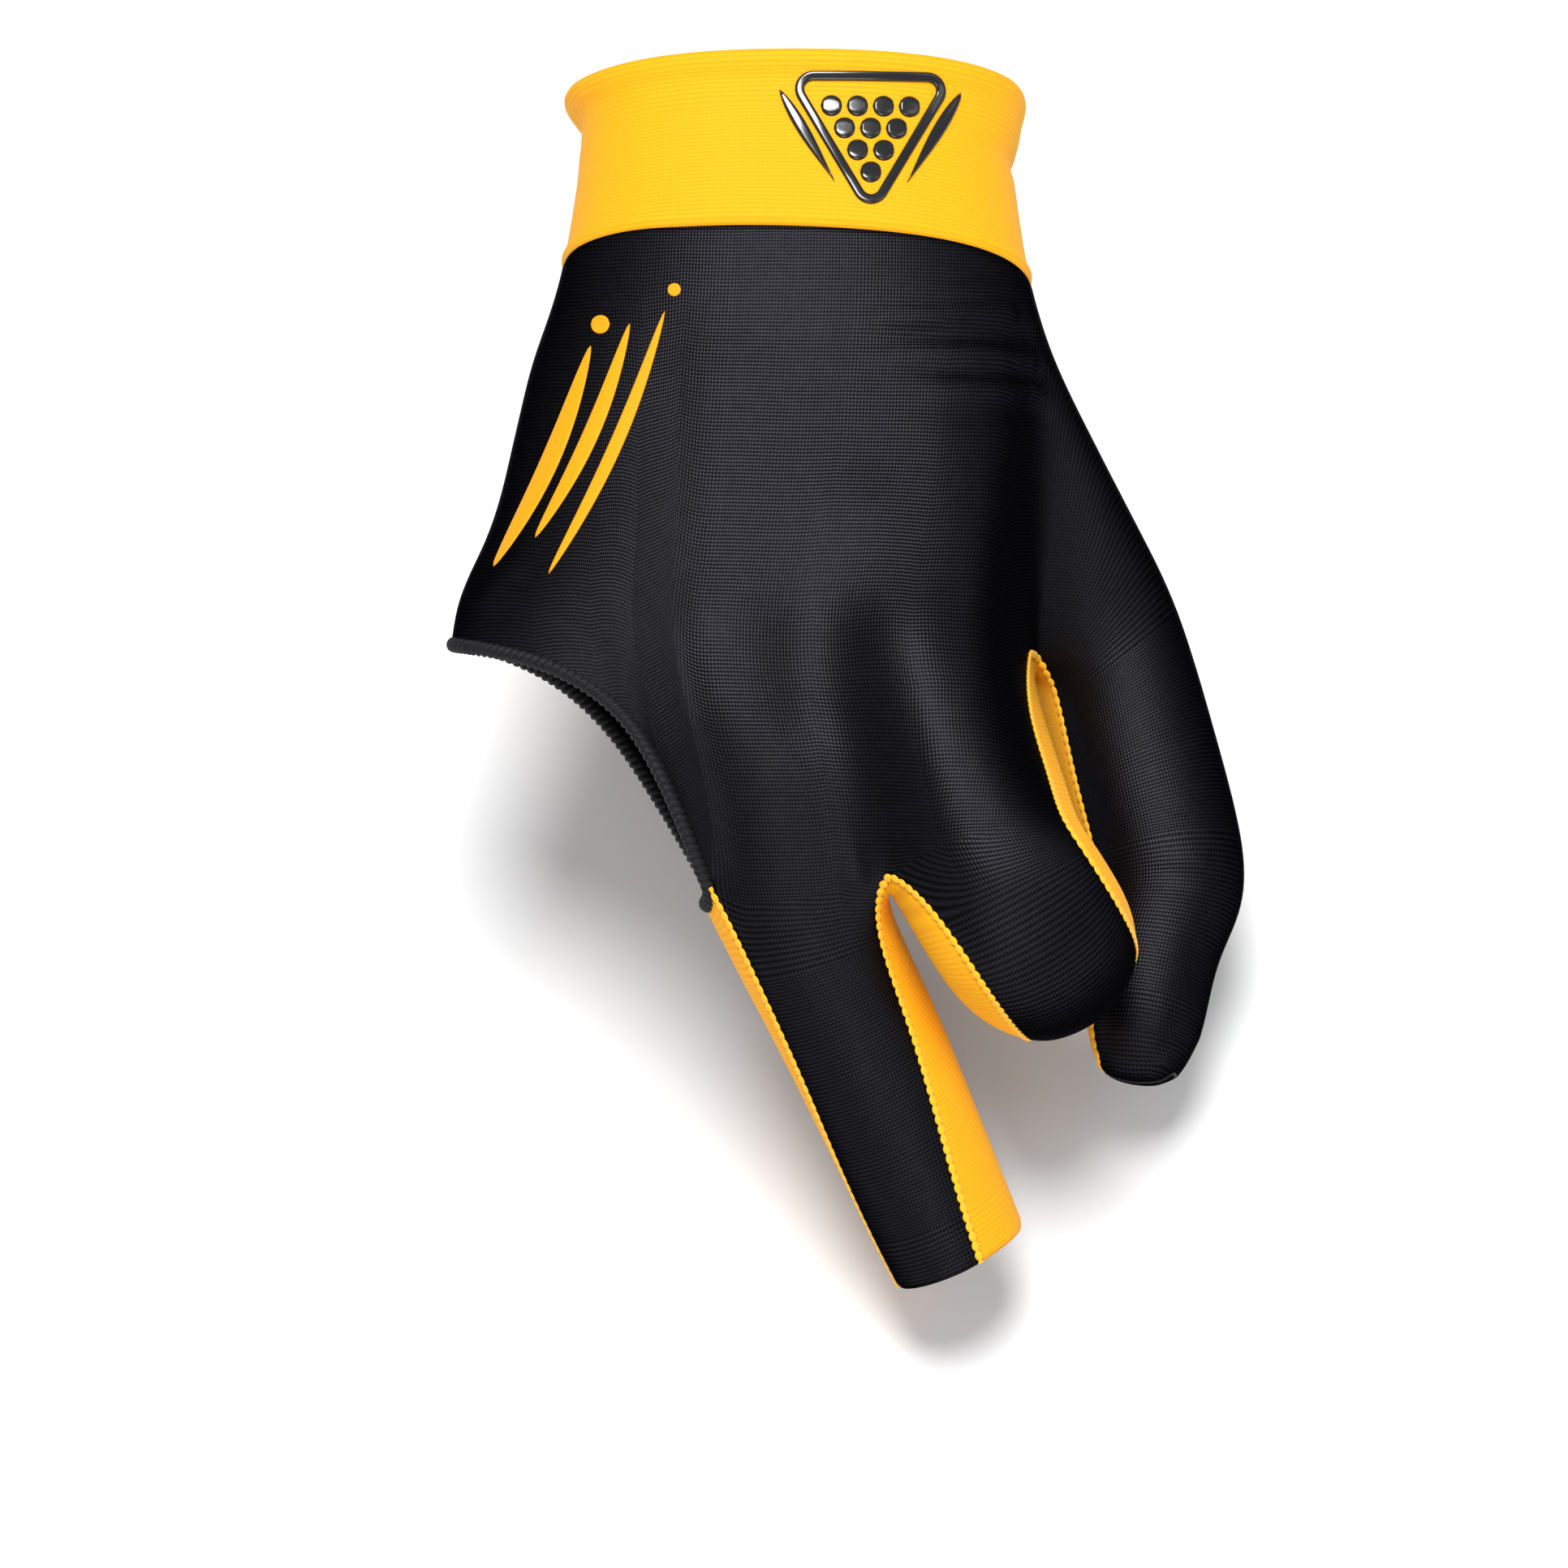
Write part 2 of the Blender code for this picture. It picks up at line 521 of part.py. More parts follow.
def add_object(name, places, faces, collection):
    """One solid, its places in metres in the part's frame, with its own material."""
    mesh = bpy.data.meshes.new(name)
    mesh.from_pydata([tuple(p) for p in places], [], faces)
    colour, roughness = FINISH[name]
    material = bpy.data.materials.new(name)
    material.use_nodes = True
    shader = material.node_tree.nodes["Principled BSDF"]
    shader.inputs["Base Color"].default_value = (*colour, 1.0)
    shader.inputs["Roughness"].default_value = roughness
    shader.inputs["Metallic"].default_value = 0.0
    material.diffuse_color = (*colour, 1.0)
    mesh.materials.append(material)
    mesh.polygons.foreach_set("use_smooth", [True] * len(mesh.polygons))
    collection.objects.link(bpy.data.objects.new(name, mesh))


def closed_run(rim, start):
    """Point numbers round the rim that passes a starting point."""
    follow = dict(rim)
    order = [start]
    while follow[order[-1]] != start:
        order.append(follow[order[-1]])
    return order


def edging_mesh(path):
    """Edging as a round closed curve along the path: its places and faces."""
    curve = bpy.data.curves.new("edging_path", "CURVE")
    curve.dimensions = "3D"
    curve.bevel_depth = HEM_RADIUS * METRES_PER_MM
    curve.bevel_resolution = 1
    curve.use_fill_caps = False
    spline = curve.splines.new("POLY")
    spline.points.add(len(path) - 1)
    for point, place in zip(spline.points, to_part(path)):
        point.co = (*place, 1.0)
    spline.use_cyclic_u = True
    guide = bpy.data.objects.new("edging_path", curve)
    bpy.context.scene.collection.objects.link(guide)
    evaluated = guide.evaluated_get(bpy.context.evaluated_depsgraph_get())
    made = bpy.data.meshes.new_from_object(evaluated)
    faces = [tuple(p.vertices) for p in made.polygons]
    places = np.array([v.co for v in made.vertices])
    bpy.data.objects.remove(guide)
    bpy.data.meshes.remove(made)
    bpy.data.curves.remove(curve)
    return places, faces


def main():
    for obj in list(bpy.data.objects):
        bpy.data.objects.remove(obj)
    collection = bpy.data.collections.new("bridge_glove")
    bpy.context.scene.collection.children.link(collection)

    points, normals, faces, panels = smooth_surface(build_cage())
    edges = directed_edges(faces)
    known = set(edges)
    rim = [(a, b) for a, b in edges if (b, a) not in known]
    # The open side reaches furthest towards the little finger of all rims
    open_side = closed_run(rim, min(rim, key=lambda e: points[e[0]][0])[0])
    open_edges = set(zip(open_side, open_side[1:] + open_side[:1]))

    def distance(a, b):
        """How far a panel's rim is drawn in: under the edging, at a free end, at a seam."""
        if (a, b) in open_edges:
            return HEM_RADIUS + SEAM_GAP
        return 0.5 * SEAM_GAP if (b, a) in known else 0.0

    for panel, name in enumerate(PANELS):
        own = [face for face, p in zip(faces, panels) if p == panel]
        wall = BAND_WALL if panel == BAND else WALL
        solid_points, solid_faces = wall_solid(points, normals, own, wall, distance)
        add_object(name, to_part(solid_points), solid_faces, collection)

    places, edging_faces = edging_mesh(points[open_side] - 0.5 * WALL * normals[open_side])
    add_object("opening_hem", places, edging_faces, collection)


if __name__ == "__main__":
    main()
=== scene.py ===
import math

import bpy
import numpy as np
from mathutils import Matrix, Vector


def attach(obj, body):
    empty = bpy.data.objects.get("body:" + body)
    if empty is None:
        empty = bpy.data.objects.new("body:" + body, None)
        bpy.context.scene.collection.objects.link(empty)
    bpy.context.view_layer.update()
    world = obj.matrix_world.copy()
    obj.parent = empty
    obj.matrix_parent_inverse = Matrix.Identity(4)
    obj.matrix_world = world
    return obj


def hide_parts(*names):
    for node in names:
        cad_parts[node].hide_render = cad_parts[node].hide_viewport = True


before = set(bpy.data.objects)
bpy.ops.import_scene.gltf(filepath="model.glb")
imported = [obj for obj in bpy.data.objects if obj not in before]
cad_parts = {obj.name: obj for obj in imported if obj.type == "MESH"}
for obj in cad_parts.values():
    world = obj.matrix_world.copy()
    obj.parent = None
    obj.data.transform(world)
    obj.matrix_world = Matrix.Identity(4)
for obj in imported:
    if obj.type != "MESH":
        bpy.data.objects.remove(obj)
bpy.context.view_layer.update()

# Lengths are millimetres in the hand frame: x to the thumb side, y up the forearm, z out of the
# back of the hand. leanAngle tips the hand onto its fingertips and gives the scene's own axes.
leanAngle = math.radians(30.0)
leanTurn = np.array([[1.0, 0.0, 0.0],
                     [0.0, math.cos(leanAngle), -math.sin(leanAngle)],
                     [0.0, math.sin(leanAngle), math.cos(leanAngle)]])


def toScene(points):
    return 0.001 * np.asarray(points, float) @ leanTurn.T


# camera, square to the back of the hand
cameraSettings = {"target": (-1.8, -99.6), "distance": 1125.0, "lens": 178.2, "sensor": 36.0}
cameraData = bpy.data.cameras.new("studioCamera")
cameraData.lens = cameraSettings["lens"]
cameraData.sensor_width = cameraSettings["sensor"]
cameraData.clip_start = 0.01
cameraData.clip_end = 20.0
camera = bpy.data.objects.new("studioCamera", cameraData)
bpy.context.scene.collection.objects.link(camera)
camera.location = toScene((*cameraSettings["target"], cameraSettings["distance"]))
camera.rotation_euler = (leanAngle, 0.0, 0.0)
bpy.context.scene.camera = camera
bpy.context.scene.view_settings.view_transform = "Standard"   # keeps the dyed yellow as saturated as it is
print("camera set")


def linear(hexColour):
    # sRGB hex to linear: each channel over 12.92 below 0.04045, else ((c + 0.055) / 1.055) ** 2.4
    channels = [int(hexColour[i:i + 2], 16) / 255.0 for i in (1, 3, 5)]
    return tuple(c / 12.92 if c <= 0.04045 else ((c + 0.055) / 1.055) ** 2.4 for c in channels) + (1.0,)


def addNode(tree, kind, links=(), props=None, values=None):
    # one node: props are set on the node, values on its inputs, links join its inputs to sources
    node = tree.nodes.new(kind)
    for name, value in (props or {}).items():
        setattr(node, name, value)
    for name, value in (values or {}).items():
        node.inputs[name].default_value = value
    for socket, source in links:
        tree.links.new(source, node.inputs[socket])
    return node


def setSockets(shader, values):
    for name, value in values.items():
        shader.inputs[name].default_value = value


# warp-knit nylon and elastane, dyed black, fine ribs across the hand. Its lustre is set as a metallic
# value with a dark edge tint, which keeps the grazing edges from going pale
# in each knit look the groove colour is painted shade: the hollows between the ribs are drawn darker than
# the thread
blackKnit = {"thread": "#2a2a2e", "shadedGroove": "#030304", "rough": 0.46, "lustre": 1.0, "edge": "#3a3a40",
             "ribPitch": 0.56, "walePitch": 0.47, "depth": 0.06, "spec": 0.05}
# ribbed jersey, dyed golden yellow: close matte ribs along the cuff
yellowKnit = {"thread": "#fab010", "shadedGroove": "#ea9b07", "rough": 0.72, "sheen": 0.05, "sheenRough": 0.5,
              "sheenTint": "#ffe08a", "ribPitch": 0.62, "walePitch": 0.40, "depth": 0.05, "spec": 0.2}
knitLooks = {
    "blackTricot": blackKnit,
    # the same knit on the palm side, a little duller
    "blackTricotPalm": dict(blackKnit, thread="#28282b", rough=0.50),
    "yellowJersey": yellowKnit,
    # cut strips of the same jersey between the fingers
    "yellowJerseyStrip": dict(yellowKnit, thread="#faae10", shadedGroove="#e69607", rough=0.74),
}
# noise scales over the cloth, how far the noise shifts a thread, and the shares of the stitch columns
# and of the cloudy noise against the ribs
knitGrain = {"cloudScale": 38.0, "fuzzScale": 420.0, "shift": 1.6, "waleShare": 0.7, "cloudShare": 0.25}


def knitMaterial(name, look):
    # UV holds millimetres over 100: ribs are a sine of v, stitch columns a weaker sine of u, and a cloudy
    # noise keeps the threads from looking printed. The colour runs from the thread colour on the ribs'
    # crests to the darker groove colour in their hollows, which is painted shade, and the cloudy noise
    # varies the tone at random
    material = bpy.data.materials.new(name)
    material.use_nodes = True
    tree = material.node_tree
    shader = tree.nodes["Principled BSDF"]
    uv = addNode(tree, "ShaderNodeUVMap", props={"uv_map": "cloth"})
    cloud = addNode(tree, "ShaderNodeTexNoise", [("Vector", uv.outputs[0])],
                    values={"Scale": knitGrain["cloudScale"], "Detail": 3.0, "Roughness": 0.6})
    fuzz = addNode(tree, "ShaderNodeTexNoise", [("Vector", uv.outputs[0])],
                   values={"Scale": knitGrain["fuzzScale"], "Detail": 2.0})
    parts = addNode(tree, "ShaderNodeSeparateXYZ", [(0, uv.outputs[0])])

    def wave(axis, pitch):
        turns = addNode(tree, "ShaderNodeMath", [(0, parts.outputs[axis])],
                        props={"operation": "MULTIPLY"}, values={1: 100.0 * 2.0 * math.pi / pitch})
        wobble = addNode(tree, "ShaderNodeMath", [(0, fuzz.outputs[0]), (2, turns.outputs[0])],
                         props={"operation": "MULTIPLY_ADD"}, values={1: knitGrain["shift"]})
        return addNode(tree, "ShaderNodeMath", [(0, wobble.outputs[0])], props={"operation": "SINE"})

    rib, wale = wave(1, look["ribPitch"]), wave(0, look["walePitch"])
    both = addNode(tree, "ShaderNodeMath", [(0, wale.outputs[0]), (2, rib.outputs[0])],
                   props={"operation": "MULTIPLY_ADD"}, values={1: knitGrain["waleShare"]})
    reach = 1.0 + knitGrain["waleShare"]
    height = addNode(tree, "ShaderNodeMapRange", [("Value", both.outputs[0])],
                     values={"From Min": -reach, "From Max": reach})
    shade = addNode(tree, "ShaderNodeMath", [(0, cloud.outputs[0]), (2, height.outputs[0])],
                    props={"operation": "MULTIPLY_ADD", "use_clamp": True},
                    values={1: knitGrain["cloudShare"]})
    # painted shade: low rib height takes the darker groove colour, high rib height the thread colour
    colour = addNode(tree, "ShaderNodeMix", [("Factor", shade.outputs[0])], props={"data_type": "RGBA"})
    for socket in colour.inputs:
        if socket.type == "RGBA" and socket.name in "AB":
            socket.default_value = linear(look["shadedGroove" if socket.name == "A" else "thread"])
    mixed = [s for s in colour.outputs if s.type == "RGBA"][0]
    bump = addNode(tree, "ShaderNodeBump", [("Height", height.outputs[0])],
                   values={"Strength": 1.0, "Distance": look["depth"] * 0.001})
    tree.links.new(mixed, shader.inputs["Base Color"])
    tree.links.new(bump.outputs[0], shader.inputs["Normal"])
    setSockets(shader, {
        "Roughness": look["rough"], "Metallic": look.get("lustre", 0.0),
        "Specular IOR Level": look["spec"], "Specular Tint": linear(look.get("edge", "#ffffff")),
        "Sheen Weight": look.get("sheen", 0.0), "Sheen Roughness": look.get("sheenRough", 0.5),
        "Sheen Tint": linear(look.get("sheenTint", "#ffffff"))})
    return material


def plainMaterial(name, hexColour, rough, spec=0.5, sheen=0.0, coat=0.0):
    material = bpy.data.materials.new(name)
    material.use_nodes = True
    setSockets(material.node_tree.nodes["Principled BSDF"], {
        "Base Color": linear(hexColour), "Roughness": rough, "Specular IOR Level": spec,
        "Sheen Weight": sheen, "Coat Weight": coat, "Coat Roughness": coatRoughness})
    return material


coatRoughness = 0.12
materials = {name: knitMaterial(name, look) for name, look in knitLooks.items()}
# textured polyester overlock thread, spun black: matte strands with dark gaps
materials["blackOverlockThread"] = plainMaterial("blackOverlockThread", "#151518", 0.6, 0.2)
# textured polyester overlock thread, spun yellow
materials["yellowOverlockThread"] = plainMaterial("yellowOverlockThread", "#fcb815", 0.7, 0.3, 0.15)
# soft silicone transfer, printed raised: glossy black
materials["blackSiliconePrint"] = plainMaterial("blackSiliconePrint", "#0b0b0e", 0.22, 0.5, 0.0, 0.5)
# flat plastisol print, cured: smooth golden yellow, nearly matte
materials["yellowPlastisolPrint"] = plainMaterial("yellowPlastisolPrint", "#f49c0a", 0.6, 0.2)
print("materials made:", len(materials))

# the glove's form: coarse rings and rows, smoothed afterwards
gloveForm = {
    "wristWidth": 67.6, "wristThickness": 43.0, "bandHeight": 28.0, "bandFlare": -0.9, "bandWaist": 2.6,
    "handLength": 87.0, "handBreadth": 84.0, "handThickness": 30.0, "knuckleRise": 38.0,
    "middleLength": 60.0, "middleWidth": 22.6, "indexLength": 62.0, "indexWidth": 29.0,
    "thumbLength": 88.0, "thumbWidth": 24.0,
    "wristTilt": 16.0, "seamTilt": 4.0, "seamDrop": 1.2, "sideAngle": 14.0,
    "wristSquareness": 2.3, "handSquareness": 2.5,
    "cageSwell": 1.045, "rows": 8, "smoothing": 3, "wall": 0.9, "bandWall": 1.6,
}
form = gloveForm
columns = 12
openColumns, middleEnd = 4, 8
thumbTop, thumbWeb = 1, 5
wristband, backPanel, palmPanel, indexMiddleStrip, thumbIndexStrip, middleSideStrip = range(6)

# along is a share of the hand's length from the wrist seam; left and right are shares of its
# breadth, rise of how far the knuckles stand forward, back and palm of its thickness
handColumns = ("along", "left", "right", "rise", "back", "palm")
handRows = (
    (0.00, -0.401, 0.404, 0.20, 0.73, 0.69),
    (0.13, -0.455, 0.423, 0.30, 0.72, 0.72),
    (0.28, -0.490, 0.420, 0.43, 0.73, 0.65),
    (0.42, -0.521, 0.410, 0.59, 0.70, 0.58),
    (0.54, -0.586, 0.402, 0.74, 0.66, 0.53),
    (0.62, -0.592, 0.396, 0.82, 0.65, 0.47),
    (0.74, -0.554, 0.400, 0.92, 0.62, 0.40),
    (0.88, -0.512, 0.452, 0.99, 0.55, 0.35),
    (1.00, -0.476, 0.476, 1.00, 0.52, 0.33),
)
# open side, little finger to middle finger: (share of breadth, share of length)
backEdge = ((-0.560, 0.612), (-0.428, 0.633), (-0.306, 0.696), (-0.222, 0.800))
palmEdge = ((-0.548, 0.606), (-0.422, 0.650), (-0.318, 0.735), (-0.238, 0.850))
columnBow = (0.00, 0.00, 0.01, 0.04, 0.12, 0.10, 0.07, 0.04, 0.02, 0.00, 0.00, 0.00, 0.00)
# thumb side, row by row: (share of breadth, share of length, share of the knuckles' rise)
thumbSideBack = (
    (0.424, 0.125, 0.52), (0.416, 0.262, 0.42), (0.408, 0.390, 0.34), (0.402, 0.513, 0.29),
    (0.404, 0.628, 0.25), (0.388, 0.722, 0.80), (0.430, 0.832, 1.03),
)
thumbSideMiddle = (
    (0.446, 0.133, 0.21), (0.0, 0.0, 0.0), (0.0, 0.0, 0.0), (0.0, 0.0, 0.0),
    (0.410, 0.666, 0.10), (0.440, 0.752, 0.50), (0.464, 0.835, 0.82),
)
thumbSidePalm = (
    (0.372, 0.160, -0.14), (0.340, 0.306, -0.13), (0.328, 0.432, -0.03), (0.333, 0.547, 0.08),
    (0.386, 0.648, -0.11), (0.396, 0.728, 0.22), (0.420, 0.828, 0.53),
)
# fingers: x, y, z are shares of the finger's length from its first ring; wide and thick are shares
# of its width; turn, curl and roll are degrees, and open is half the back panel's angle
fingerColumns = ("x", "y", "z", "wide", "thick", "turn", "curl", "roll", "open")
middleRings = (
    (-0.016, 0.000, 0.000, 1.17, 0.93, 7.0, 8.0, 0.0, 50.0),
    (0.032, -0.120, -0.020, 1.07, 0.92, 18.0, 10.0, 3.0, 47.0),
    (0.148, -0.340, -0.070, 1.05, 0.92, 26.0, 11.0, 13.0, 46.0),
    (0.247, -0.560, -0.115, 1.01, 0.92, 25.5, 11.0, 24.0, 45.0),
    (0.335, -0.750, -0.150, 0.95, 0.88, 25.5, 11.0, 34.0, 45.0),
    (0.382, -0.850, -0.168, 0.91, 0.84, 26.0, 11.0, 38.0, 45.0),
)
indexRings = (
    (0.000, 0.000, 0.000, 1.00, 0.80, 15.0, -7.0, -5.0, 50.0),
    (0.055, -0.095, 0.020, 1.00, 0.78, 28.0, 0.0, -8.0, 49.0),
    (0.108, -0.180, 0.010, 1.00, 0.76, 31.0, 28.0, -9.0, 49.0),
    (0.150, -0.240, -0.060, 0.97, 0.74, 31.0, 58.0, -9.0, 49.0),
    (0.168, -0.268, -0.165, 0.88, 0.72, 31.0, 88.0, -9.0, 48.0),
    (0.170, -0.270, -0.270, 0.80, 0.68, 31.0, 92.0, -5.0, 47.0),
    (0.165, -0.255, -0.360, 0.74, 0.64, 31.0, 112.0, 0.0, 44.0),
    (0.150, -0.205, -0.470, 0.70, 0.60, 31.0, 130.0, 0.0, 40.0),
    (0.140, -0.165, -0.540, 0.66, 0.56, 31.0, 130.0, 0.0, 36.0),
    (0.132, -0.138, -0.590, 0.52, 0.46, 31.0, 130.0, 0.0, 32.0),
)
thumbRings = (
    (0.010, 0.000, 0.000, 1.06, 1.00, 34.0, 4.0, 0.0, 50.0),
    (0.058, -0.180, 0.040, 1.02, 0.96, 21.0, -10.0, 4.0, 50.0),
    (0.102, -0.335, 0.080, 1.00, 0.92, 10.0, -12.0, 9.0, 50.0),
    (0.107, -0.412, 0.098, 0.94, 0.88, -4.0, -14.0, 13.0, 50.0),
    (0.080, -0.485, 0.122, 0.80, 0.80, -10.0, -16.0, 17.0, 48.0),
    (0.066, -0.585, 0.150, 0.77, 0.75, -10.0, -16.0, 20.0, 45.0),
    (0.056, -0.648, 0.165, 0.70, 0.68, -10.0, -16.0, 22.0, 42.0),
    (0.052, -0.688, 0.173, 0.55, 0.53, -10.0, -16.0, 22.0, 38.0),
)
fingers = {
    "middle": {"rings": middleRings, "root": (0.007, 1.012, 1.0),
               "length": "middleLength", "width": "middleWidth"},
    "index": {"rings": indexRings, "root": (0.300, 0.935, 1.27),
              "length": "indexLength", "width": "indexWidth", "tip": 0.05},
    "thumb": {"rings": thumbRings, "root": (0.530, 0.617, -0.05),
              "length": "thumbLength", "width": "thumbWidth", "tip": 0.035},
}
# wristband: share of its height, the named size that a ring stands out by, and how many times
bandRows = ((0.00, "bandFlare", 1.0), (0.10, "bandFlare", 0.4),
            (0.30, "bandWaist", -1.0), (0.65, "bandWaist", -0.55))


def unit(vectors):
    return vectors / np.linalg.norm(vectors, axis=1)[:, None]


def edgeEnds(faces):
    # first and second point of every face's edges
    return faces.ravel(), np.roll(faces, -1, axis=1).ravel()


def readTable(names, rows):
    values = np.array(rows, float)
    return {name: values[:, i] for i, name in enumerate(names)}


def wristRing(width, thickness, along):
    # flattened ellipse square to the forearm: x = w/2 cos^p, height = t/2 sin^p with p = 2 / squareness
    back = np.linspace(180.0 - form["sideAngle"], form["sideAngle"], columns + 1)
    angle = np.radians(np.concatenate((back, [0.0], -back[::-1], [180.0])))
    power = 2.0 / form["wristSquareness"]
    c, s = np.cos(angle), np.sin(angle)
    x = 0.5 * width * np.sign(c) * np.abs(c) ** power
    height = 0.5 * thickness * np.sign(s) * np.abs(s) ** power
    tilt, share = math.radians(form["wristTilt"]), along / form["bandHeight"]
    ringTilt = tilt + math.radians(form["seamTilt"]) * share
    y = -along * math.cos(tilt) + height * math.sin(ringTilt) - form["seamDrop"] * share * 2.0 * x / width
    return np.column_stack((x, y, along * math.sin(tilt) + height * math.cos(ringTilt)))


seamY = -form["bandHeight"] * math.cos(math.radians(form["wristTilt"]))


def handAt(y):
    hand = readTable(handColumns, handRows)
    along = (seamY - y) / form["handLength"]
    at = {name: np.interp(along, hand["along"], hand[name]) for name in handColumns[1:]}
    return (at["left"] * form["handBreadth"], at["right"] * form["handBreadth"],
            at["rise"] * form["knuckleRise"],
            at["back"] * form["handThickness"], at["palm"] * form["handThickness"])


def handHeight(x, y, facing):
    # side line plus or minus the thickness times (1 - |across|^n)^(1/n)
    left, right, side, back, palm = handAt(y)
    across = np.clip((x - 0.5 * (left + right)) / (0.5 * (right - left)), -0.999, 0.999)
    crown = (1.0 - np.abs(across) ** form["handSquareness"]) ** (1.0 / form["handSquareness"])
    return side + facing * crown * (back if facing > 0 else palm)


def edgePoints(rows, facing):
    edge = np.array(rows, float)
    x, y = edge[:, 0] * form["handBreadth"], seamY - edge[:, 1] * form["handLength"]
    return np.column_stack((x, y, handHeight(x, y, facing)))


def sidePoints(rows):
    sizes = (form["handBreadth"], -form["handLength"], form["knuckleRise"])
    return np.array(rows, float) * sizes + (0.0, seamY, 0.0)


def columnPoints(start, end, facing, bow):
    # straight run in (across, y), bowed towards the thumb by bow * s^2 (1 - s) / its peak, lying on
    # the back or the palm
    peak = 0.148
    share = np.linspace(0.0, 1.0, form["rows"] + 1)[1:-1]
    y = start[1] + (end[1] - start[1]) * share
    ends = np.array((start, end))
    left, right = handAt(ends[:, 1])[:2]
    across = (ends[:, 0] - 0.5 * (left + right)) / (0.5 * (right - left))
    left, right = handAt(y)[:2]
    run = across[0] + (across[1] - across[0]) * share + bow * share ** 2 * (1.0 - share) / peak
    x = 0.5 * (left + right) + 0.5 * (right - left) * run
    off = ends[:, 2] - handHeight(ends[:, 0], ends[:, 1], facing)
    z = handHeight(x, y, facing) + off[0] * (1.0 - share) ** 2 + off[1] * share ** 2
    return np.column_stack((x, y, z))


def fingerTube(finger):
    # rings of 12 points: centre + a cos(angle) * sideways + b sin(angle) * outward
    t = readTable(fingerColumns, finger["rings"])
    length, width = form[finger["length"]], form[finger["width"]]
    turn, curl = np.radians(t["turn"])[:, None], np.radians(t["curl"])[:, None]
    zero = np.zeros_like(turn)
    sideways = np.hstack((np.cos(turn), np.sin(turn), zero))
    forward = np.hstack((np.sin(turn), -np.cos(turn), zero))
    outward = np.array((0.0, 0.0, 1.0)) * np.cos(curl) + forward * np.sin(curl)
    root = sidePoints([finger["root"]])[0]
    centre = root + length * np.column_stack((t["x"], t["y"], t["z"]))
    steps = np.linspace(-1.0, 1.0, 5)
    back = 90.0 + t["roll"][:, None] + t["open"][:, None] * steps
    palm = 270.0 + 0.5 * t["roll"][:, None] + t["open"][:, None] * steps
    angle = np.radians(np.hstack((0.5 * (back[:, :1] + palm[:, -1:] - 360.0), back,
                                  0.5 * (back[:, -1:] + palm[:, :1]), palm)))[:, :, None]
    swell = 0.5 * width * form["cageSwell"]
    return (centre[:, None, :] + swell * t["wide"][:, None, None] * np.cos(angle) * sideways[:, None, :]
            + swell * t["thick"][:, None, None] * np.sin(angle) * outward[:, None, :])


cagePoints, cageFaces, cagePanels, cageUv, tipSpots = [], [], [], [], []


def addPoints(points):
    first = len(cagePoints)
    cagePoints.extend(np.asarray(points, float).reshape(-1, 3))
    return list(range(first, len(cagePoints)))


def addFace(corners, panel, uv):
    cageFaces.append(corners)
    cagePanels.append(panel)
    cageUv.append(uv)


def ringRun(ids, start, middle):
    # distance round a closed ring from point number start, less the value at point number middle
    p = np.array([cagePoints[i] for i in ids])
    steps = np.linalg.norm(np.roll(p, -1, axis=0) - p, axis=1)
    run = np.concatenate(([0.0], np.cumsum(np.roll(steps, -start))))
    value = np.empty((len(ids), 2))
    order = (np.arange(len(ids)) + start) % len(ids)
    value[order, 0], value[order, 1] = run[:-1], run[1:]
    return value - value[middle, 0]


def bridgeRings(upper, lower, panels, vUpper, vLower, runUpper, runLower, flip=False):
    for i, panel in enumerate(panels):
        if panel is None:
            continue
        j = (i + 1) % len(upper)
        corners = [upper[i], lower[i], lower[j], upper[j]]
        uv = [(runUpper[i, 0], vUpper[i]), (runLower[i, 0], vLower[i]),
              (runLower[i, 1], vLower[j]), (runUpper[i, 1], vUpper[j])]
        addFace(corners[::-1] if flip else corners, panel, uv[::-1] if flip else uv)


clothRun = 1.08


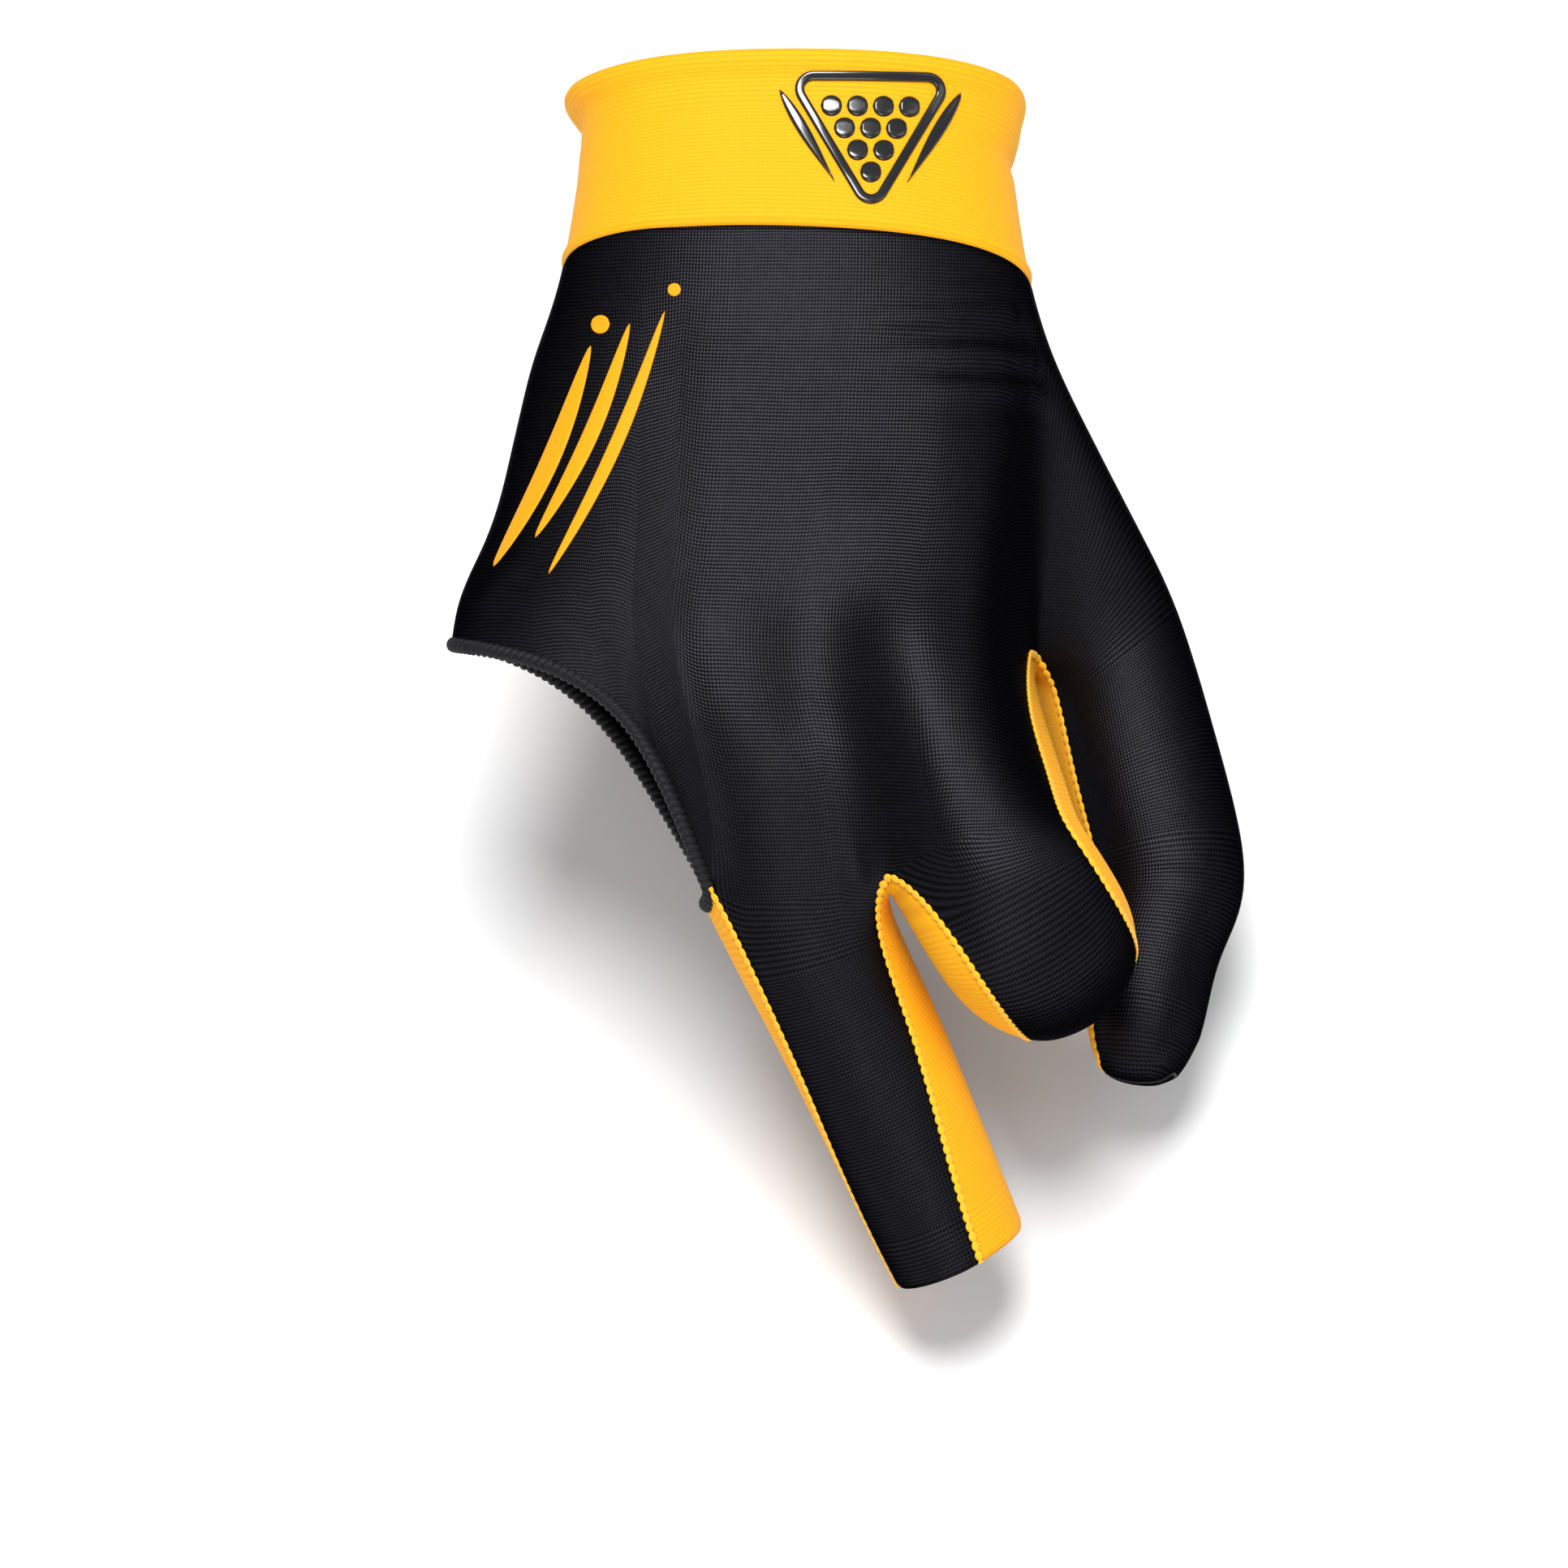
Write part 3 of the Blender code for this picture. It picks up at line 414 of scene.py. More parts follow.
def buildCage():
    # wristband and wrist seam
    ringSize = 2 * columns + 4
    runStart, backMiddle = 2 * columns + 2, columns // 2
    rings, alongs = [], []
    for share, key, times in bandRows:
        out = 2.0 * times * form[key]
        rings.append(addPoints(wristRing(form["wristWidth"] + out, form["wristThickness"] + out,
                                         share * form["bandHeight"])))
        alongs.append(share * form["bandHeight"] - form["bandHeight"])
    seam = addPoints(wristRing(form["wristWidth"], form["wristThickness"], form["bandHeight"]))
    rings.append(seam)
    alongs.append(0.0)
    for k in range(len(rings) - 1):
        bridgeRings(rings[k], rings[k + 1], [wristband] * ringSize,
                    np.full(ringSize, alongs[k]), np.full(ringSize, alongs[k + 1]),
                    ringRun(rings[k], runStart, backMiddle), ringRun(rings[k + 1], runStart, backMiddle))

    # ends of the hand's columns
    tubes = {name: fingerTube(finger) for name, finger in fingers.items()}
    middle, index, thumb = tubes["middle"], tubes["index"], tubes["thumb"]
    crotch = 0.5 * (middle[0][[1, 0, 11]] + index[0][[5, 6, 7]])
    backEnd = np.vstack((edgePoints(backEdge, 1), middle[0][[5, 4, 3, 2]], crotch[:1],
                         index[0][[4, 3, 2, 1]]))
    palmEnd = np.vstack((edgePoints(palmEdge, -1), middle[0][[7, 8, 9, 10]], crotch[2:],
                         index[0][[8, 9, 10, 11]]))
    seamPoints = np.array([cagePoints[i] for i in seam])
    palmStart = seamPoints[columns + 2:-1][::-1]
    back = np.array([columnPoints(a, b, 1, w) for a, b, w in zip(seamPoints, backEnd, columnBow)])
    palm = np.array([columnPoints(a, b, -1, w) for a, b, w in zip(palmStart, palmEnd, columnBow)])
    back[-1], palm[-1] = sidePoints(thumbSideBack), sidePoints(thumbSidePalm)
    thumbMiddle = sidePoints(thumbSideMiddle)
    outer = 0.5 * (back[0] + palm[0])
    outer[:, 0] = handAt(outer[:, 1])[0]
    rowIds = [seam]
    for r in range(form["rows"] - 1):
        rowIds.append(addPoints(np.vstack((back[:, r], thumbMiddle[r], palm[::-1, r], outer[r]))))
    lastSide = 0.5 * (backEnd[0] + palmEnd[0])
    lastSide[0] = handAt(lastSide[1:2])[0][0]
    last = addPoints(np.vstack((backEnd, index[0][0], palmEnd[::-1], lastSide)))
    webMiddle, cornerMiddle = addPoints(crotch[1])[0], addPoints(middle[0][6])[0]
    rowIds.append(last)

    def handV(ids):
        # the cloth's run from the wrist seam, a little more than its fall in y
        return np.array([clothRun * (seamY - cagePoints[i][1]) for i in ids])

    near = columns + 1
    for r in range(form["rows"]):
        upper, lower = rowIds[r], rowIds[r + 1]
        sidePanel = backPanel if r < thumbTop else (None if r < thumbWeb else thumbIndexStrip)
        onBack = [backPanel] * columns + [sidePanel] * 2 + [None] * columns + [backPanel] * 2
        onPalm = [None] * (columns + 2) + [palmPanel] * columns + [None] * 2
        for panels, begin, centre in ((onBack, runStart, backMiddle),
                                      (onPalm, columns + 2, columns + 2 + columns // 2)):
            bridgeRings(upper, lower, panels, handV(upper), handV(lower),
                        ringRun(upper, begin, centre), ringRun(lower, begin, centre))

    # fingers
    fingerPanels = {
        name: [first] + [backPanel] * 4 + [side] * 2 + [palmPanel] * 4 + [first]
        for name, first, side in (("middle", indexMiddleStrip, middleSideStrip),
                                  ("index", thumbIndexStrip, indexMiddleStrip),
                                  ("thumb", backPanel, thumbIndexStrip))
    }
    backId = {c: last[c] for c in range(columns + 1)}
    palmId = {c: last[2 * columns + 2 - c] for c in range(columns + 1)}
    loops = {
        "middle": [webMiddle, *[backId[c] for c in range(middleEnd, openColumns - 1, -1)], cornerMiddle,
                   *[palmId[c] for c in range(openColumns, middleEnd + 1)]],
        "index": [last[near], *[backId[c] for c in range(columns, middleEnd - 1, -1)], webMiddle,
                  *[palmId[c] for c in range(middleEnd, columns + 1)]],
        "thumb": [rowIds[thumbTop][near], *[rowIds[r][columns] for r in range(thumbTop, thumbWeb + 1)],
                  rowIds[thumbWeb][near],
                  *[rowIds[r][near + 1] for r in range(thumbWeb, thumbTop - 1, -1)]],
    }
    base = np.array([cagePoints[i] for i in loops["thumb"]])
    follow = {"middle": list(middle[1:]), "index": list(index[1:]),
              "thumb": [base + (thumb[0] - base) / 3.0, base + (thumb[0] - base) * 2.0 / 3.0, *thumb]}
    for name, rings in follow.items():
        ring = loops[name]
        v = handV(ring)
        if name == "thumb":
            v = v * 0.0 + v.mean()
        centre = np.array([cagePoints[i] for i in ring]).mean(axis=0)
        along = v[1:6].mean()
        for points in rings:
            lower = addPoints(points)
            step = np.linalg.norm(points.mean(axis=0) - centre)
            along, centre = along + step, points.mean(axis=0)
            vLower = np.full(12, along)
            runs = [-ringRun(ids, 6, 3) for ids in (lower, ring)]
            bridgeRings(lower, ring, fingerPanels[name], vLower, v, runs[0], runs[1])
            ring, v = lower, vLower
        if "tip" in fingers[name]:
            closeTip(ring, rings, fingers[name]["tip"] * form[fingers[name]["length"]], along)


# seam line over a finger's end, as shares of its reach, and how the end is rounded afterwards
tipLook = {"line": (0.7, 1.0, 0.7), "reach": 8.0, "turns": 160, "pull": 0.9, "swell": 1.5}


def closeTip(ring, rings, reach, along):
    # a seam line from side to side past the last ring, with quads over and under it
    ahead = rings[-1].mean(axis=0) - rings[-2].mean(axis=0)
    ahead *= reach / np.linalg.norm(ahead)
    p = np.array([cagePoints[i] for i in ring])
    line = 0.5 * (p[[2, 3, 4]] + p[[10, 9, 8]]) + np.array(tipLook["line"])[:, None] * ahead
    a, b, c = addPoints(line)
    tipSpots.append(line.mean(axis=0))
    r = ring
    centre = p.mean(axis=0)
    side = (p[6] - p[0]) / np.linalg.norm(p[6] - p[0])
    over = ((r[0], r[1], r[2], a), (a, r[2], r[3], b), (b, r[3], r[4], c), (c, r[4], r[5], r[6]))
    under = ((r[0], a, r[10], r[11]), (a, b, r[9], r[10]), (b, c, r[8], r[9]), (c, r[6], r[7], r[8]))
    for panel, quads in ((backPanel, over), (palmPanel, under)):
        for corners in quads:
            uv = [(-float(np.dot(cagePoints[i] - centre, side)), along + (reach if i in (a, b, c) else 0.0))
                  for i in corners]
            addFace(corners, panel, uv)


def smoothOnce(points, faces, uv, panels):
    # Catmull-Clark on quads: face points are corner means, edge points mean their ends and face
    # points, old points move to (faces' mean + 2 edges' mean + (n - 3) point) / n; rims stay on the rim
    count = len(points)
    faceMean = points[faces].mean(axis=1)
    a, b = edgeEnds(faces)
    low, high = np.minimum(a, b), np.maximum(a, b)
    keys, where, uses = np.unique(low * count + high, return_inverse=True, return_counts=True)
    edgeA, edgeB = keys // count, keys % count
    edgeMiddle = 0.5 * (points[edgeA] + points[edgeB])
    faceOf = np.repeat(np.arange(len(faces)), 4)
    faceSum = np.zeros((len(keys), 3))
    np.add.at(faceSum, where, faceMean[faceOf])
    inner = uses == 2
    edgePoint = edgeMiddle.copy()
    edgePoint[inner] = 0.5 * edgeMiddle[inner] + 0.25 * faceSum[inner]
    valence = np.zeros(count)
    np.add.at(valence, a, 1.0)
    faceAvg = np.zeros((count, 3))
    np.add.at(faceAvg, a, faceMean[faceOf])
    faceAvg /= valence[:, None]
    edgeAvg, edgeCount = np.zeros((count, 3)), np.zeros(count)
    for ends in (edgeA, edgeB):
        np.add.at(edgeAvg, ends, edgeMiddle)
        np.add.at(edgeCount, ends, 1.0)
    edgeAvg /= edgeCount[:, None]
    moved = (faceAvg + 2.0 * edgeAvg + (valence - 3.0)[:, None] * points) / valence[:, None]
    rimSum, rimCount = np.zeros((count, 3)), np.zeros(count)
    for ends, other in ((edgeA, edgeB), (edgeB, edgeA)):
        np.add.at(rimSum, ends[~inner], points[other[~inner]])
        np.add.at(rimCount, ends[~inner], 1.0)
    onRim = rimCount > 0
    moved[onRim] = 0.75 * points[onRim] + 0.125 * rimSum[onRim]
    newPoints = np.vstack((moved, edgePoint, faceMean))
    e = where.reshape(-1, 4) + count
    f = np.arange(len(faces)) + count + len(keys)
    newFaces = np.stack([np.column_stack((faces[:, k], e[:, k], f, e[:, k - 1])) for k in range(4)], axis=1)
    uvMiddle, uvNext = uv.mean(axis=1), np.roll(uv, -1, axis=1)
    newUv = np.stack([np.stack((uv[:, k], 0.5 * (uv[:, k] + uvNext[:, k]), uvMiddle,
                                0.5 * (uv[:, k] + uv[:, k - 1])), axis=1) for k in range(4)], axis=1)
    return newPoints, newFaces.reshape(-1, 4), newUv.reshape(-1, 4, 2), np.repeat(panels, 4)


def pointNormals(points, faces):
    # area-weighted mean of the faces' normals at each point
    cross = np.cross(points[faces[:, 2]] - points[faces[:, 0]], points[faces[:, 3]] - points[faces[:, 1]])
    normals = np.zeros_like(points)
    for k in range(4):
        np.add.at(normals, faces[:, k], cross)
    return normals / np.maximum(np.linalg.norm(normals, axis=1), 1e-12)[:, None]


def roundTips(points, faces):
    # points near a finger's end move towards their neighbours' mean, then out again by what that loses
    a, b = edgeEnds(faces)
    uses = np.bincount(a, minlength=len(points))[:, None]
    for spot in tipSpots:
        share = np.clip(1.5 - np.linalg.norm(points - spot, axis=1) / tipLook["reach"], 0.0, 1.0)[:, None]
        for turn in range(tipLook["turns"]):
            total = np.zeros_like(points)
            np.add.at(total, a, points[b])
            points = points + tipLook["pull"] * share * (total / uses - points)
        points = points + tipLook["swell"] * share * pointNormals(points, faces)
    return points


buildCage()
surfacePoints, surfaceFaces = np.array(cagePoints), np.array(cageFaces)
surfaceUv, surfacePanels = np.array(cageUv, float), np.array(cagePanels)
for level in range(form["smoothing"]):
    surfacePoints, surfaceFaces, surfaceUv, surfacePanels = smoothOnce(
        surfacePoints, surfaceFaces, surfaceUv, surfacePanels)
surfacePoints = roundTips(surfacePoints, surfaceFaces)
print("glove surface:", len(surfaceFaces), "faces")

# folds in the cloth: each row is start x, y, end x, y, width, height, and back (1) or palm (-1)
foldRows = (
    (30.0, -32.2, 0.0, -35.2, 1.6, 1.00, 1),       # creases fanning out from the thumb's base
    (33.0, -35.8, 1.0, -37.4, 1.6, -0.60, 1),
    (33.0, -39.2, 7.0, -37.6, 1.4, 1.00, 1),
    (34.5, -41.6, 13.0, -40.4, 1.4, -0.50, 1),
    (34.5, -43.4, 13.0, -44.0, 1.4, 0.90, 1),
    (35.0, -46.6, 18.0, -48.6, 1.6, -0.45, 1),
    (31.0, -29.6, 9.0, -30.4, 1.4, 0.50, 1),
    (30.2, -76.3, 24.0, -75.0, 0.9, -0.34, 1),     # gathers over the thumb's web
    (31.0, -80.7, 25.5, -79.4, 0.9, -0.34, 1),
    (-44.0, -74.0, -34.0, -62.0, 2.2, 0.30, 1),    # drag lines at the open side's corner
    (-46.0, -70.0, -38.0, -57.0, 1.8, 0.24, 1),
    (9.0, -112.5, 6.0, -103.5, 1.2, -0.30, 1),     # pinches over the crotch of the fingers
    (11.5, -113.0, 14.0, -105.0, 1.2, -0.26, 1),
    (58.5, -111.0, 50.0, -110.0, 1.2, 0.26, 1),    # thumb joint
    (58.5, -115.0, 50.5, -114.4, 1.2, 0.26, 1),
    (-20.0, -50.0, 14.0, -47.0, 1.6, 0.32, -1),    # palm creases
    (-26.0, -64.0, 10.0, -70.0, 1.8, 0.40, -1),
    (-22.0, -72.0, 12.0, -80.0, 1.6, 0.34, -1),
    (24.0, -46.0, 14.0, -70.0, 2.0, 0.36, -1),
)
# broad swellings of the back: the same columns, with no hollow beside them
swellRows = (
    (-10.5, -42.0, -12.5, -76.0, 7.5, 0.65, 1),    # ridge that runs to the middle finger
    (-13.5, -79.0, -11.5, -88.0, 6.5, 0.70, 1),    # its knuckle
    (8.5, -62.0, 14.0, -79.0, 6.5, 0.72, 1),       # ridge that runs to the index finger
    (14.5, -80.0, 19.5, -92.0, 7.0, 0.60, 1),
    (2.0, -79.0, 2.0, -88.0, 5.5, -0.95, 1),       # hollow between the two
    (6.0, -92.0, 9.5, -106.0, 4.5, -0.45, 1),
)


def foldHeight(points, normals):
    # a fold is height * (1 - d^2) * exp(-d^2) with d the distance to its segment over its width, and
    # fades by (1 - share^2)^1.5 towards its end; a swelling is height * exp(-d^2); both only where the
    # cloth faces that way
    total = np.zeros(len(points))
    for rows, hollow in ((foldRows, 1.0), (swellRows, 0.0)):
        for x0, y0, x1, y1, width, height, facing in rows:
            start, run = np.array((x0, y0)), np.array((x1 - x0, y1 - y0))
            share = np.clip(((points[:, :2] - start) @ run) / (run @ run), 0.0, 1.0)
            d = np.linalg.norm(points[:, :2] - start - share[:, None] * run, axis=1) / width
            wave = height * (1.0 - hollow * share ** 2) ** 1.5 * (1.0 - hollow * d ** 2) * np.exp(-d ** 2)
            total += wave * np.clip(2.0 * facing * normals[:, 2], 0.0, 1.0)
    return total


surfaceNormals = pointNormals(surfacePoints, surfaceFaces)
surfacePoints = surfacePoints + surfaceNormals * foldHeight(surfacePoints, surfaceNormals)[:, None]
surfaceNormals = pointNormals(surfacePoints, surfaceFaces)
print("folds laid in:", len(foldRows) + len(swellRows))

# the wristband is folded double: its rim rolls over and its lower edge stands proud of the black cloth
cuffLook = {"rollHeight": 0.32, "rollAt": 1.4, "rollWidth": 1.1, "edgeRound": 0.75, "edgeWidth": 0.5,
            "ruckDepth": 0.22, "ruckAt": 4.6, "ruckWidth": 1.6, "lipHeight": 0.70, "lipWidth": 2.4,
            "lipPower": 0.6, "lipRound": 0.55, "lipEdge": 0.4, "lapDown": 0.7, "lapWidth": 1.2}
# local shapes of the rim: x, width across, distance below the rim, width along, height
cuffRows = (
    (-35.0, 3.5, 0.9, 1.1, 0.95),      # pointed flare at the little finger's side
    (-35.0, 7.0, 5.6, 2.8, -0.95),
    (34.5, 6.0, 5.6, 3.2, 0.60),       # bulge at the thumb's side, with a ruck under it
    (34.0, 8.0, 10.6, 1.8, -0.65),
    (-14.0, 9.0, 8.0, 2.4, 0.18),     # faint slack rucks round the band
    (10.0, 12.0, 9.5, 2.0, 0.16),
    (0.0, 16.0, 20.5, 1.9, 0.16),
)


def bump(d):
    return np.exp(-d ** 2)


def cuffShape(points, normals, v):
    below, above = v + form["bandHeight"], -v          # distances from the rim and from the seam
    look = cuffLook
    lip = np.clip(1.0 - above / look["lipWidth"], 0.0, 1.0) ** look["lipPower"]
    out = (look["rollHeight"] * bump((below - look["rollAt"]) / look["rollWidth"])
           - look["edgeRound"] * bump(below / look["edgeWidth"]))
    out -= look["ruckDepth"] * bump((below - look["ruckAt"]) / look["ruckWidth"])
    out += look["lipHeight"] * lip - look["lipRound"] * bump(above / look["lipEdge"])
    for x, width, at, length, height in cuffRows:
        out += height * bump((points[:, 0] - x) / width) * bump((below - at) / length)
    moved = points + normals * out[:, None]
    moved[:, 1] -= look["lapDown"] * bump(above / look["lapWidth"])
    return moved


def rimEdges(faces):
    a, b = edgeEnds(faces)
    size = faces.max() + 1
    lonely = ~np.isin(a * size + b, b * size + a)
    return a[lonely], b[lonely]


def makeMesh(name, points, faces, uv=None):
    mesh = bpy.data.meshes.new(name)
    points = toScene(points)
    mesh.vertices.add(len(points))
    mesh.vertices.foreach_set("co", points.ravel())
    sizes = np.array([len(f) for f in faces])
    flat = np.concatenate([np.asarray(f) for f in faces])
    mesh.loops.add(len(flat))
    mesh.loops.foreach_set("vertex_index", flat.astype(np.int32))
    mesh.polygons.add(len(sizes))
    mesh.polygons.foreach_set("loop_start", np.concatenate(([0], np.cumsum(sizes)[:-1])).astype(np.int32))
    if uv is not None:
        layer = mesh.uv_layers.new(name="cloth")
        layer.data.foreach_set("uv", (0.01 * np.asarray(uv).reshape(-1, 2)).ravel())
    mesh.update(calc_edges=True)
    mesh.validate()
    mesh.polygons.foreach_set("use_smooth", np.ones(len(mesh.polygons), bool))
    piece = bpy.data.objects.new(name, mesh)
    bpy.context.scene.collection.objects.link(piece)
    return piece


def wallPiece(name, keep, wall, edgeDrop, shape=None):
    # outside face, the same face lowered by the wall, and a rim strip; the edge is lowered by edgeDrop
    used, faces = np.unique(surfaceFaces[keep], return_inverse=True)
    faces, count = faces.reshape(-1, 4), len(used)
    outside, normals, uv = surfacePoints[used], surfaceNormals[used], surfaceUv[keep]
    pointUv = np.zeros((count, 2))
    pointUv[faces.ravel()] = uv.reshape(-1, 2)
    if shape:
        outside = shape(outside, normals, pointUv[:, 1])
    a, b = rimEdges(faces)
    edge = np.zeros(count)
    edge[a] = 1.0
    points = np.vstack((outside - normals * (edge * edgeDrop)[:, None], outside - normals * wall))
    rim = np.column_stack((b, a, a + count, b + count))
    rimUv = np.stack((pointUv[b], pointUv[a], pointUv[a], pointUv[b]), axis=1)
    return makeMesh(name, points, np.vstack((faces, faces[:, ::-1] + count, rim)),
                    np.vstack((uv, uv[:, ::-1], rimUv)))


def dress(piece, node, material):
    piece.data.materials.append(materials[material])
    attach(piece, "root")
    if node:
        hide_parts(node)
    return piece


panelLooks = {
    "wristbandCloth": {"panel": wristband, "node": "wristband", "material": "yellowJersey",
                       "wall": "bandWall", "shape": cuffShape},
    "backCloth": {"panel": backPanel, "node": "back_panel", "material": "blackTricot"},
    "palmCloth": {"panel": palmPanel, "node": "palm_panel", "material": "blackTricotPalm"},
}
stripRows = (("indexMiddle", indexMiddleStrip, "index_middle_strip"),
             ("thumbIndex", thumbIndexStrip, "thumb_index_strip"),
             ("middleSide", middleSideStrip, "middle_side_strip"))
for start, panel, node in stripRows:
    panelLooks[start + "Cloth"] = {"panel": panel, "node": node, "material": "yellowJerseyStrip"}
turnedIn = 0.22      # how far a panel's cut edge is drawn down at its seam
for name, look in panelLooks.items():
    wall = form[look.get("wall", "wall")]
    piece = wallPiece(name, surfacePanels == look["panel"], wall, turnedIn, look.get("shape"))
    dress(piece, look["node"], look["material"])


def chains(a, b):
    # rim edges joined end to end into closed or open runs of point numbers
    follow = dict(zip(a.tolist(), b.tolist()))
    starts = [p for p in follow if p not in set(follow.values())]
    runs = []
    while follow:
        start = starts.pop() if starts else next(iter(follow))
        run = [start]
        while run[-1] in follow:
            run.append(follow.pop(run[-1]))
        runs.append(np.array(run))
    return runs


def evenPath(path, step, closed):
    # the same line with points at equal distances
    if closed:
        path = np.vstack((path, path[:1]))
    steps = np.linalg.norm(np.diff(path, axis=0), axis=1)
    run = np.concatenate(([0.0], np.cumsum(steps)))
    count = max(4, int(round(run[-1] / step)))
    at = np.linspace(0.0, run[-1], count + 1)
    if closed:
        at = at[:-1]
    return np.column_stack([np.interp(at, run, path[:, k]) for k in range(path.shape[1])])


def smoothPath(path, closed, times=2):
    for turn in range(times):
        before, after = np.roll(path, 1, axis=0), np.roll(path, -1, axis=0)
        middle = 0.25 * before + 0.5 * path + 0.25 * after
        if not closed:
            middle[0], middle[-1] = path[0], path[-1]
        path = middle
    return path


def pathAhead(path, closed):
    # direction along a path: from the point before to the point after
    ahead = np.roll(path, -1, axis=0) - np.roll(path, 1, axis=0)
    if not closed:
        ahead[0], ahead[-1] = path[1] - path[0], path[-1] - path[-2]
    return unit(ahead)


def ringAngles(count):
    return np.linspace(0.0, 2.0 * math.pi, count + 1)[:-1][None]


def cordMesh(name, path, outward, section, closed):
    # a profile carried along a path: centre + side * p + outward * q, section(run) gives p and q
    ahead = pathAhead(path, closed)
    outward = unit(outward - ahead * np.sum(outward * ahead, axis=1)[:, None])
    side = np.cross(ahead, outward)
    step = np.linalg.norm(np.diff(path, axis=0), axis=1)
    run = np.concatenate(([0.0], np.cumsum(step)))
    p, q = section(run)
    n, m = p.shape
    grid = path[:, None] + side[:, None] * p[..., None] + outward[:, None] * q[..., None]
    i = np.arange(n if closed else n - 1)[:, None]
    j = np.arange(m)[None]
    here, onward, beside = i * m, (i + 1) % n * m, (j + 1) % m
    faces = np.stack((here + j, onward + j, onward + beside, here + beside), axis=2).reshape(-1, 4)
    faces = [tuple(f) for f in faces]
    if not closed:
        faces += [tuple(range(m)), tuple(range((n - 1) * m, n * m))[::-1]]
    return makeMesh(name, grid.reshape(-1, 3), faces)


# overlocked edging of the open side, whose rim reaches furthest to the little finger below the cuff
hemLook = {"radius": 1.0, "flat": 0.95, "stitch": 1.15, "twist": 0.26, "swell": 1.4, "step": 0.15,
           "soften": 4, "sink": 0.35, "sides": 16, "below": -20.0}
lowRims = [run for run in chains(*rimEdges(surfaceFaces))
           if surfacePoints[run][:, 1].max() <= hemLook["below"]]
openRim = min(lowRims, key=lambda run: surfacePoints[run][:, 0].min())


def hemSection(run):
    # ellipse whose radius swells where the overlock strands wrap it on a slant
    angle = ringAngles(hemLook["sides"])
    strand = np.abs(np.sin(math.pi * run[:, None] / hemLook["stitch"] + angle))
    r = hemLook["radius"] * (1.0 - hemLook["twist"] + hemLook["twist"] * hemLook["swell"] * strand)
    return -r * np.cos(angle), r * hemLook["flat"] * np.sin(angle)


rimLine = np.hstack((surfacePoints[openRim[:-1]], surfaceNormals[openRim[:-1]]))
rimLine = smoothPath(evenPath(rimLine, hemLook["step"], True), True, hemLook["soften"])
hem = cordMesh("openSideEdging", rimLine[:, :3] - hemLook["sink"] * rimLine[:, 3:], rimLine[:, 3:],
               hemSection, True)
dress(hem, "opening_hem", "blackOverlockThread")
print("edging made")

# seams: the strips' yellow cloth shows in small lobes between the black stitches
seamLook = {
    "yellow": {"pitch": 1.45, "least": 0.20, "lobe": 0.42, "thick": 0.22, "towards": 0.22, "lift": 0.02},
    "black": {"pitch": 1.1, "least": 0.20, "lobe": 0.10, "thick": 0.20, "towards": 0.0, "lift": -0.12},
}
# all cords: point distance, smoothing, where they stop before the cuff and how their ends sink in
cordLook = {"step": 0.12, "soften": 12, "cuffGap": 1.0, "sink": 0.4, "sinkWidth": 1.3, "sides": 8,
            "shortest": 12}
cuffFaces = surfaceFaces[surfacePanels == wristband]
cuffSeam = surfacePoints[np.intersect1d(cuffFaces, surfaceFaces[surfacePanels != wristband])]


def seamRuns(panel, others):
    # directed edges of one panel whose other side belongs to one of the other panels, joined end to end
    size = len(surfacePoints)

    def keys(faces, back=False):
        a, b = edgeEnds(faces)
        return b * size + a if back else a * size + b

    mine = keys(surfaceFaces[surfacePanels == panel])
    theirs = keys(surfaceFaces[np.isin(surfacePanels, others)], True)
    shared = mine[np.isin(mine, theirs)]
    return chains(shared // size, shared % size)


def seamCord(name, run, look):
    closed = bool(run[0] == run[-1])
    line = np.hstack((surfacePoints[run], surfaceNormals[run]))[:-1 if closed else None]
    line = smoothPath(evenPath(line, cordLook["step"], closed), closed, cordLook["soften"])
    toCuff = np.linalg.norm(line[:, None, :3] - cuffSeam[None], axis=2).min(axis=1)
    free = toCuff > cordLook["cuffGap"]
    line, toCuff = line[free], toCuff[free]
    path, normals = line[:, :3], line[:, 3:]
    lift = look["lift"] - cordLook["sink"] * np.exp(-(toCuff[:, None] / cordLook["sinkWidth"]) ** 2)
    away = unit(np.cross(np.gradient(path, axis=0), normals))

    def section(distance):
        # flat ellipse: half width = least + lobe * s and half height = thick * (0.6 + s / 2), with
        # s = |sin(pi * distance / pitch)|^0.7
        angle = ringAngles(cordLook["sides"])
        lobe = np.abs(np.sin(math.pi * distance[:, None] / look["pitch"])) ** 0.7
        wide = look["least"] + look["lobe"] * lobe
        return -wide * np.cos(angle), look["thick"] * (0.6 + 0.5 * lobe) * np.sin(angle)

    return cordMesh(name, path + look["towards"] * away + lift * normals, normals, section, closed)


seamRows = [(start, panel, (backPanel, palmPanel), "yellow", node) for start, panel, node in stripRows]
seamRows.append(("backPalm", backPanel, (palmPanel,), "black", "back_panel"))
for start, panel, others, kind, node in seamRows:
    for number, run in enumerate(seamRuns(panel, others)):
        if len(run) < cordLook["shortest"]:
            continue
        name = start + "Seam" + str(number)
        dress(seamCord(name, run, seamLook[kind]), "", kind + "OverlockThread")

